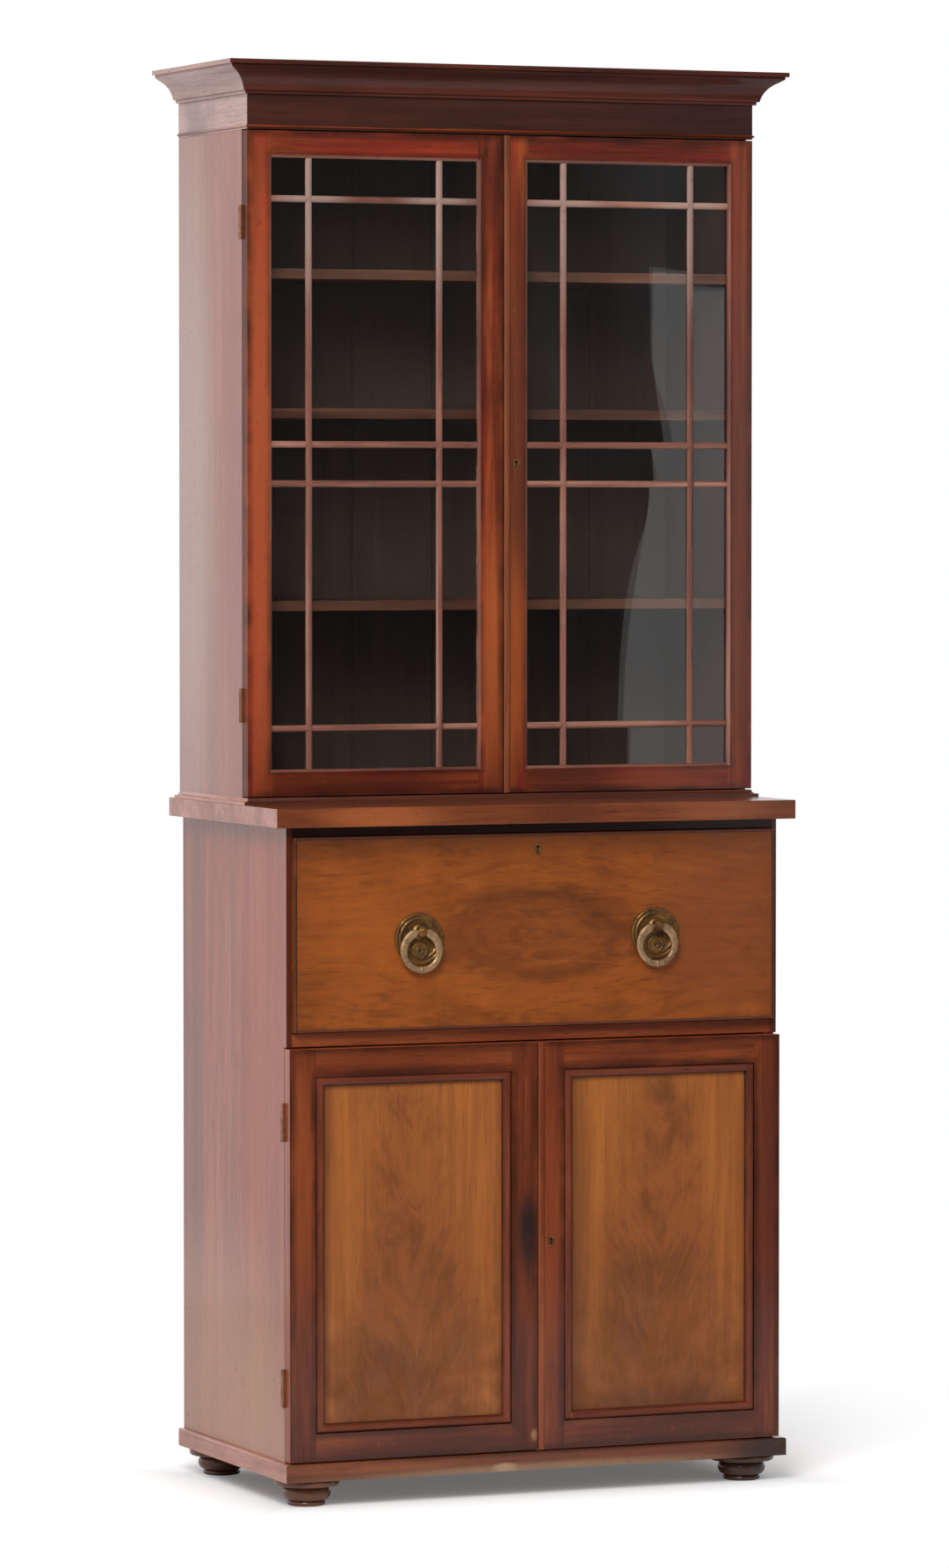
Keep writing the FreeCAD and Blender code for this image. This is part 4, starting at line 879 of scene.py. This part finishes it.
for node, tones in (("lower_shelf", SHELF_EDGE), ("middle_shelf", SHELF_EDGE), ("upper_shelf", UPPER_EDGE)):
    veneer(node, tones, "x", 1.9, coat=0.3)
for node in ("left_letter_drawer", "right_letter_drawer"):
    veneer(node, FRAME_BROWN, "x", 2.9)
print("linings and shelves dressed")

# %% Metal fittings and leather
for node in ("hinge_carcass_leaves", "left_glazed_hinge_leaves", "right_glazed_hinge_leaves",
             "left_cupboard_hinge_leaves", "right_cupboard_hinge_leaves"):
    dress(node, hinge_brass)
for node in ("glazed_lock", "cupboard_lock", "fall_lock", "fall_pivots", "quadrant_stays", "handle_plates",
             "left_ring", "right_ring"):
    dress(node, aged_brass)
for node in ("glazed_lock_bolt", "cupboard_lock_bolt", "fall_lock_bolt"):
    dress(node, lock_iron)
dress("writing_leather", desk_leather)
print("fittings dressed")

# %% [markdown]
# ## Ring handles
# Each handle is a round cast plate with rolled rims and a row of pearls, a round boss with a hollow pin, and
# a lug that carries a hanging ring. A founder's pattern for such rounds comes from a lathe, so each outline
# is spun once round its axis, and the pearls are pressed on afterwards.

# %% Lathe and piece helpers
WELD_REACH = 0.000005


def lathe(mesh, outline, centre, axis, steps=72):
    """Spins an outline once round an axis and closes the seam."""
    points = [mesh.verts.new(point) for point in outline]
    lines = [mesh.edges.new(pair) for pair in zip(points, points[1:])]
    bmesh.ops.spin(mesh, geom=points + lines, cent=centre, axis=axis, angle=math.tau, steps=steps,
                   use_merge=True)
    bmesh.ops.remove_doubles(mesh, verts=mesh.verts, dist=WELD_REACH)


def pressed(mesh, centre, size):
    """A small rounded lump of a casting."""
    place = Matrix.Translation(centre) @ Matrix.Diagonal((*size, 1.0))
    bmesh.ops.create_icosphere(mesh, subdivisions=2, radius=1.0, matrix=place)


def finish_piece(name, mesh, material, body, smooth=True):
    """Turns a finished bmesh into a piece that rides on a body of the cabinet."""
    bmesh.ops.recalc_face_normals(mesh, faces=mesh.faces)
    for face in mesh.faces:
        face.smooth = smooth
    data = bpy.data.meshes.new(name)
    mesh.to_mesh(data)
    mesh.free()
    data.materials.append(material)
    piece = bpy.data.objects.new(name, data)
    scene.collection.objects.link(piece)
    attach(piece, body)
    print(name, len(data.polygons), "faces on", body)
    return piece


print("lathe ready, it welds points closer than", WELD_REACH, "m")

# %% Outlines for the lathe
PLATE_RADIUS = 0.041
LUG_RADIUS = 0.0095
PLATE_OUTLINE = (
    (0.0, 0.0), (PLATE_RADIUS, 0.0), (PLATE_RADIUS, 0.0018), (0.0402, 0.0036), (0.0385, 0.0044),
    (0.0366, 0.0036), (0.0358, 0.0022), (0.0345, 0.0022), (0.0335, 0.0034), (0.0322, 0.0038),
    (0.0310, 0.0030), (0.0300, 0.0018), (0.0220, 0.0024), (0.0, 0.0028))
BOSS_OUTLINE = (
    (0.0, 0.0018), (0.0138, 0.0018), (0.0138, 0.0040), (0.0130, 0.0052), (0.0118, 0.0054), (0.0108, 0.0046),
    (0.0096, 0.0042), (0.0070, 0.0056), (0.0036, 0.0064), (0.0024, 0.0062), (0.0018, 0.0044), (0.0, 0.0044))
LUG_OUTLINE = (
    (0.0050, -0.0062), (0.0074, -0.0064), (0.0088, -0.0050), (0.0082, -0.0036), (0.0093, -0.0018),
    (LUG_RADIUS, 0.0), (0.0093, 0.0018), (0.0082, 0.0036), (0.0088, 0.0050), (0.0074, 0.0064),
    (0.0050, 0.0062), (0.0050, -0.0062))
NECK_OUTLINE = (
    (0.0, 0.0020), (0.0125, 0.0020), (0.0112, 0.0040), (0.0078, 0.0052), (0.0058, 0.0066), (0.0, 0.0066))
print("outlines with", [len(o) for o in (PLATE_OUTLINE, BOSS_OUTLINE, LUG_OUTLINE, NECK_OUTLINE)], "points")

# %% Handle plates
plate_low, plate_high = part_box("handle_plates")
FALL_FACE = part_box("fall_front")[0].y
HANDLE_X = plate_high.x - PLATE_RADIUS
HANDLE_Z = plate_low.z + PLATE_RADIUS
RING_RADIUS = 0.030
RING_Y = plate_low.y + LUG_RADIUS
RING_TOP = HANDLE_Z + 0.012
BOSS_Z = RING_TOP - RING_RADIUS
PEARLS = 48
PEARL_CIRCLE = 0.0258
PEARL_RISE = 0.0020
PEARL_SIZE = (0.0012, 0.0012, 0.0012)
LUG_STEPS = 40
# Each boss's pin pit is darkened with painted shade.
pin_shade = [((x, FALL_FACE - 0.0055, BOSS_Z), 0.0034) for x in (-HANDLE_X, HANDLE_X)]
plate_brass = brass("plate_brass", (148, 106, 54), (74, 48, 26), 0.5, 0.8, pin_shade)
plates = bmesh.new()
for x in (-HANDLE_X, HANDLE_X):
    for outline, centre_z in ((PLATE_OUTLINE, HANDLE_Z), (BOSS_OUTLINE, BOSS_Z), (NECK_OUTLINE, RING_TOP)):
        lathe(plates, [Vector((x + radius, FALL_FACE - rise, centre_z)) for radius, rise in outline],
              (x, FALL_FACE, centre_z), (0, 1, 0))
    lathe(plates, [Vector((x + along, RING_Y - radius, RING_TOP)) for radius, along in LUG_OUTLINE],
          (x, RING_Y, RING_TOP), (1, 0, 0), LUG_STEPS)
    middle = Matrix.Translation((x, FALL_FACE - PEARL_RISE, HANDLE_Z))
    for i in range(PEARLS):
        turn = middle @ Matrix.Rotation(math.tau * i / PEARLS, 4, "Y")
        pressed(plates, turn @ Vector((PEARL_CIRCLE, 0, 0)), PEARL_SIZE)
plate_piece = finish_piece("handle_back_plates", plates, plate_brass, "fall")
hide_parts("handle_plates")

# %% [markdown]
# ### The hanging rings
# A ring is a circle of wire, spun round the boss and then drawn out into a flat band: slim only inside the
# lug, broad at its shoulders and less so at its foot, which has a knob. Drawing out a spun ring keeps its
# faces in even rows, so that light runs along the band without kinks.

# %% Hanging rings
RING_WIRE = 0.0036
RING_STEPS = 96
LUG_DEGREES = 12
SHOULDER_DEGREES = 26
FOOT_SWELL = 0.0016
SHOULDER_SWELL = 0.0018
KNOB_SIZE = (0.0042, 0.0046, 0.0062)
ring_brass = brass("ring_brass", (184, 148, 108), (110, 80, 56), 0.48, 0.6)


def band_width(degrees):
    """Half the width of the ring's band, so many degrees from its top."""
    leave_lug = min(max((degrees - LUG_DEGREES) / (SHOULDER_DEGREES - LUG_DEGREES), 0), 1)
    near_shoulder = max(0, math.cos(math.radians(degrees - SHOULDER_DEGREES)))
    return RING_WIRE + leave_lug * (FOOT_SWELL + SHOULDER_SWELL * near_shoulder)


for side, x in (("left", -HANDLE_X), ("right", HANDLE_X)):
    hoop = bmesh.new()
    middle = Vector((x, RING_Y, BOSS_Z))
    at_top = Matrix.Translation((x, RING_Y, RING_TOP)) @ Matrix.Rotation(math.pi / 2, 4, "Y")
    section = bmesh.ops.create_circle(hoop, segments=24, radius=RING_WIRE, matrix=at_top)["verts"]
    section_edges = list({edge for vert in section for edge in vert.link_edges})
    bmesh.ops.spin(hoop, geom=section + section_edges, cent=middle, axis=(0, 1, 0), angle=math.tau,
                   steps=RING_STEPS, use_merge=True)
    bmesh.ops.remove_doubles(hoop, verts=hoop.verts, dist=WELD_REACH)
    for vert in hoop.verts:
        spoke = Vector((vert.co.x - middle.x, 0, vert.co.z - middle.z)).normalized()
        out = (vert.co - middle).dot(spoke) - RING_RADIUS
        degrees = math.degrees(math.acos(max(-1.0, min(1.0, spoke.z))))
        vert.co += spoke * out * (band_width(degrees) / RING_WIRE - 1)
    pressed(hoop, middle + Vector((0, 0, -RING_RADIUS)), KNOB_SIZE)
    ring_piece = finish_piece(side + "_hanging_ring", hoop, ring_brass, side + "_handle")
    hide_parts(side + "_ring")

# %% [markdown]
# ## A bead under the frieze
# A thin half-round strip runs along the foot of the frieze and throws the fine dark line above the doors. It
# is one profile carried round three sides, so it is extruded from corner to corner. Every point of the
# profile moves out from the frieze by its own distance on both sides of a corner, which makes the mitre.

# %% The frieze bead
frieze_low, frieze_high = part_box("frieze")
BEAD_HEIGHT = 0.005
BEAD_OUT = 0.0028
BEAD_STEPS = 8
BEAD_FOOT = frieze_low.z + 0.002
profile = [(BEAD_OUT * math.sin(math.pi * i / BEAD_STEPS), BEAD_FOOT + BEAD_HEIGHT * i / BEAD_STEPS)
           for i in range(BEAD_STEPS + 1)]


def bead_path(out):
    """The ends and corners of a line round the frieze, so far out from it."""
    left, right, front = frieze_low.x - out, frieze_high.x + out, frieze_low.y - out
    return (left, frieze_high.y), (left, front), (right, front), (right, frieze_high.y)


bead = bmesh.new()
row = [bead.verts.new((*bead_path(out)[0], z)) for out, z in profile]
edges = [bead.edges.new(pair) for pair in zip(row, row[1:] + row[:1])]
bead.faces.new(row)
for station in (1, 2, 3):
    grown = bmesh.ops.extrude_edge_only(bead, edges=edges)["geom"]
    edges = [item for item in grown if isinstance(item, bmesh.types.BMEdge)]
    for vert in {vert for edge in edges for vert in edge.verts}:
        out = min(profile, key=lambda point: abs(point[1] - vert.co.z))[0]
        vert.co = (*bead_path(out)[station], vert.co.z)
bmesh.ops.holes_fill(bead, edges=bead.edges, sides=0)
# The bead's returns take the same painted glare as the frieze's ends.
bead_finish = mahogany("frieze_bead", FRAME_BROWN, "x", 4.4, coat=0.15, gloss=0.1, return_tones=GLARE_SIDE,
                       mitre=corner("frieze"))
finish_piece("frieze_bead", bead, bead_finish, "cabinet")

# %% [markdown]
# ## Glue blocks behind the frieze
# A frieze is a thin board set on edge, so the maker glues a batten and a row of short blocks into the corner
# behind it. They are rough work that nobody sees from the front, but they close the slit under the frieze.
# Each starts as a cube that is stretched to size in one step and has its corners knocked off with a bevel.

# %% Batten and blocks
FRIEZE_THICKNESS = 0.020
HALF_BATTEN, BATTEN_DEPTH, BATTEN_HEIGHT = 0.415, 0.018, 0.016
HALF_BLOCK, BLOCK_DEPTH, BLOCK_TOP = 0.03, 0.014, 0.03
FIRST_BLOCK, BLOCK_SPACING, BLOCK_COUNT = -0.36, 0.144, 6
BATTEN_CHAMFER, BLOCK_CHAMFER = 0.0012, 0.003


def block(mesh, low_corner, high_corner, chamfer):
    """A piece of wood between two corners with its edges taken off."""
    low_corner, high_corner = Vector(low_corner), Vector(high_corner)
    size = Matrix.Diagonal((*(high_corner - low_corner), 1.0))
    place = Matrix.Translation((low_corner + high_corner) / 2) @ size
    corners = bmesh.ops.create_cube(mesh, size=1.0, matrix=place)["verts"]
    edges = list({edge for vert in corners for edge in vert.link_edges})
    bmesh.ops.bevel(mesh, geom=edges, offset=chamfer, affect="EDGES", segments=2, profile=0.5, material=-1)


case_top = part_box("bookcase_top")[1].z
batten_top = case_top + BATTEN_HEIGHT
frieze_back = frieze_low.y + FRIEZE_THICKNESS
blocks = bmesh.new()
block(blocks, (-HALF_BATTEN, frieze_back, case_top),
      (HALF_BATTEN, frieze_back + BATTEN_DEPTH, batten_top), BATTEN_CHAMFER)
for i in range(BLOCK_COUNT):
    x = FIRST_BLOCK + i * BLOCK_SPACING
    block(blocks, (x - HALF_BLOCK, frieze_back, batten_top),
          (x + HALF_BLOCK, frieze_back + BLOCK_DEPTH, case_top + BLOCK_TOP), BLOCK_CHAMFER)
block_finish = lining_wood("frieze_glue_blocks", PINE, "x")
finish_piece("frieze_glue_blocks", blocks, block_finish, "cabinet", smooth=False)

# %% [markdown]
# ## Hinge screws
# Every hinge leaf is held by three slotted screws, let in flush so that the leaves can close on each other. A
# cone sunk into the leaf is the head, and a dark bar across it stands for the slot, its darkness painted
# shade.
# The slots point different ways, as screws end up on real doors.

# %% Screw heads
SCREW_RISE = 0.00006
HEAD_FOOT, HEAD_TOP, HEAD_DEPTH = 0.0020, 0.0026, 0.001
SLOT_SINK = 0.00028
SLOT_SIZE = (0.0050, 0.0008, 0.0006)
HALF_LEAF_GAP = 0.0001
OUTER_SCREW, MIDDLE_SCREW = 0.0065, 0.0040
SCREW_SPREAD = 0.36
HINGE_LENGTH = {"glazed": 0.054, "cupboard": 0.060}
slot_shade = brass("screw_slot", (46, 36, 28), (26, 20, 16), 0.5, 0.6)


def screw(mesh, centre, out, turn):
    """One slotted head; out is 1 where its leaf faces +Y and -1 where it faces -Y."""
    stand = Matrix.Translation(centre) @ Matrix.Rotation(-out * math.pi / 2, 4, "X")
    sunk = stand @ Matrix.Translation((0, 0, SCREW_RISE - HEAD_DEPTH / 2))
    bmesh.ops.create_cone(mesh, cap_ends=True, segments=18, radius1=HEAD_FOOT, radius2=HEAD_TOP,
                          depth=HEAD_DEPTH, matrix=sunk)
    bar = stand @ Matrix.Translation((0, 0, SCREW_RISE - SLOT_SINK)) @ Matrix.Rotation(turn, 4, "Z")
    shaped = bar @ Matrix.Diagonal((*SLOT_SIZE, 1.0))
    corners = bmesh.ops.create_cube(mesh, size=1.0, matrix=shaped)["verts"]
    # The slot bar takes the second material, whose dark colour is painted shade.
    for face in {face for vert in corners for face in vert.link_faces}:
        face.material_index = 1


def leaf_screws(mesh, node, length, out):
    """Three screws in each of a door's two leaves, or in the carcass leaves that face them."""
    low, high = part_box(node)
    leaf_y = (low.y + high.y) / 2 - out * HALF_LEAF_GAP
    inner = high.x if low.x < 0 else low.x
    for number, hinge_z in enumerate((low.z + length / 2, high.z - length / 2)):
        for i in (-1, 0, 1):
            x = inner + math.copysign(OUTER_SCREW if i else MIDDLE_SCREW, inner)
            z = hinge_z + i * length * SCREW_SPREAD
            screw(mesh, (x, leaf_y, z), out, 0.7 + 1.9 * i + 2.3 * number)


print("screw heads", HEAD_TOP * 2, "m across")

# %% Screws in the doors and the carcass
carcass_screws = bmesh.new()
for side in ("left", "right"):
    for kind, length in HINGE_LENGTH.items():
        door = side + "_" + kind
        leaf_screws(carcass_screws, door + "_hinge_leaves", length, -1)
        door_screws = bmesh.new()
        leaf_screws(door_screws, door + "_hinge_leaves", length, 1)
        screws = finish_piece(door + "_hinge_screws", door_screws, hinge_brass, door + "_door",
                              smooth=False)
        screws.data.materials.append(slot_shade)
screws = finish_piece("carcass_hinge_screws", carcass_screws, hinge_brass, "cabinet",
                      smooth=False)
screws.data.materials.append(slot_shade)

# %% [markdown]
# ## Softened edges
# No edge on old furniture is sharp: planes, polish and hands have rounded each one, and that thin round is
# what catches the light. The CAD meshes stay as they are, so a Weld modifier joins their loose triangles and
# a Bevel modifier rounds whatever turns by more than forty degrees.

# %% Round the edges
BOARD_ROUND = 0.0012
SMALL_ROUND = 0.0008
SHARP_DEGREES = 40


def soften(node, width):
    weld = nodes[node].modifiers.new("join", "WELD")
    weld.merge_threshold = 0.00001
    bevel = nodes[node].modifiers.new("soft edge", "BEVEL")
    bevel.width = width
    bevel.segments = 2
    bevel.limit_method = "ANGLE"
    bevel.angle_limit = math.radians(SHARP_DEGREES)
    bevel.harden_normals = True


boards = ("cupboard_sides", "bookcase_sides", "top_board", "drawer_divider", "drawer_rail",
          "left_glazed_door_frame", "right_glazed_door_frame", "left_cupboard_door_frame",
          "right_cupboard_door_frame", "lower_shelf", "middle_shelf", "upper_shelf", "cupboard_shelf")
small_work = ("plinth", "base_moulding", "pigeonhole_boards", "left_letter_drawer", "right_letter_drawer",
              "drawer_sides")
for node in boards:
    soften(node, BOARD_ROUND)
for node in small_work:
    soften(node, SMALL_ROUND)
print("edges softened on", len(boards) + len(small_work), "nodes")

# %% [markdown]
# ## Studio floor
# The cabinet stands on a white floor with no edge in sight. Near the feet the floor is matt and takes their
# shadow; further out it turns, for the camera alone, into plain white light, so that it meets the white room
# without a line.

# %% The floor
FLOOR_RADIUS = 2.8
HALF_FOOTPRINT_X, HALF_FOOTPRINT_Y = 0.42, 0.2
floor_mesh = bmesh.new()
bmesh.ops.create_circle(floor_mesh, cap_ends=True, segments=96, radius=FLOOR_RADIUS)
floor_data = bpy.data.meshes.new("studio_floor")
floor_mesh.to_mesh(floor_data)
floor_mesh.free()
floor = bpy.data.objects.new("studio_floor", floor_data)
scene.collection.objects.link(floor)
floor_finish, _, place = new_finish("studio_floor")
seen = place.node("ShaderNodeLightPath", output="Is Camera Ray")
x, y, z = axes(place)
beside = abs(x) - HALF_FOOTPRINT_X
beyond = beside.sum("MAXIMUM", beside, abs(y) - HALF_FOOTPRINT_Y)
matt = place.node("ShaderNodeBsdfDiffuse", None, {"Color": (0.8, 0.8, 0.8, 1.0)})
glow = seen * (0.12 + step(beyond, -0.08, 0.2) * 0.36)
lift = place.node("ShaderNodeEmission", None, {"Color": glow, "Strength": 1.0})
white = place.node("ShaderNodeEmission", None, {"Strength": 1.0})
near = place.node("ShaderNodeAddShader", None, {0: matt, 1: lift})
far_share = seen * step(beyond, 0.1, 0.75)
show(floor_finish, place.node("ShaderNodeMixShader", None, {0: far_share, 1: near, 2: white}))
floor_data.materials.append(floor_finish)
print("floor ready,", FLOOR_RADIUS * 2, "m across")

# %% [markdown]
# ## Room and lamps
# One broad lamp from the front left lights the front. The white room behind shows in the polish of the left
# side as a pale glare, while the dark room in front leaves the glass nearly black, apart from a wall at the
# front right that grows paler upwards. A tall soft panel before that wall is what the right-hand door mirrors
# as a grey band. The room is only a rule for each direction, so no walls have to be built.

# %% The room
ROOM_FILL = 0.42
room = bpy.data.worlds.new("room")
room.use_nodes = True
scene.world = room
sky = room.node_tree.nodes["Background"]
direction = Wire(room.node_tree).node("ShaderNodeTexCoord", output="Generated")
x, y, z = axes(direction)
camera_ray, glossy_ray, clear_ray, bounces = [
    direction.node("ShaderNodeLightPath", output=name)
    for name in ("Is Camera Ray", "Is Glossy Ray", "Is Transmission Ray", "Glossy Depth")]
plain = direction.sum("MAXIMUM", camera_ray, clear_ray * (bounces < 0.5))
polished = direction.sum("MAXIMUM", glossy_ray, clear_ray)
behind = step(y * 0.9 - x * 0.45, -0.45, 0.35)
pale_wall = step(z, -0.05, 0.06) * (0.06 + step(x, 0.38, 0.44) * 0.28)
mirrored = polished * (pale_wall + behind * (1 - pale_wall))
lamp_fill = (1 - polished) * ROOM_FILL
plug(sky, {"Color": (1.0, 1.0, 1.0, 1.0), "Strength": plain + (1 - plain) * (mirrored + lamp_fill)})
print("room ready")

# %% The lamps
def lamp(name, place, aim, width, height, watts, roll=0.0):
    data = bpy.data.lights.new(name, "AREA")
    data.shape = "RECTANGLE"
    data.size, data.size_y = width, height
    data.energy = watts
    made = bpy.data.objects.new(name, data)
    made.location = place
    facing = (Vector(aim) - Vector(place)).to_track_quat("-Z", "Y").to_matrix()
    made.rotation_euler = (facing @ Matrix.Rotation(roll, 3, "Z")).to_euler()
    scene.collection.objects.link(made)
    print("lamp", name, watts, "W")


lamp("key", (-2.9, -4.0, 4.4), (0, 0, 1.1), 2.6, 2.6, 300)
lamp("tall_panel", (2.042, -3.193, 1.43), (0.3, 0, 1.43), 0.74, 1.2, 2.1, math.radians(-2.5))
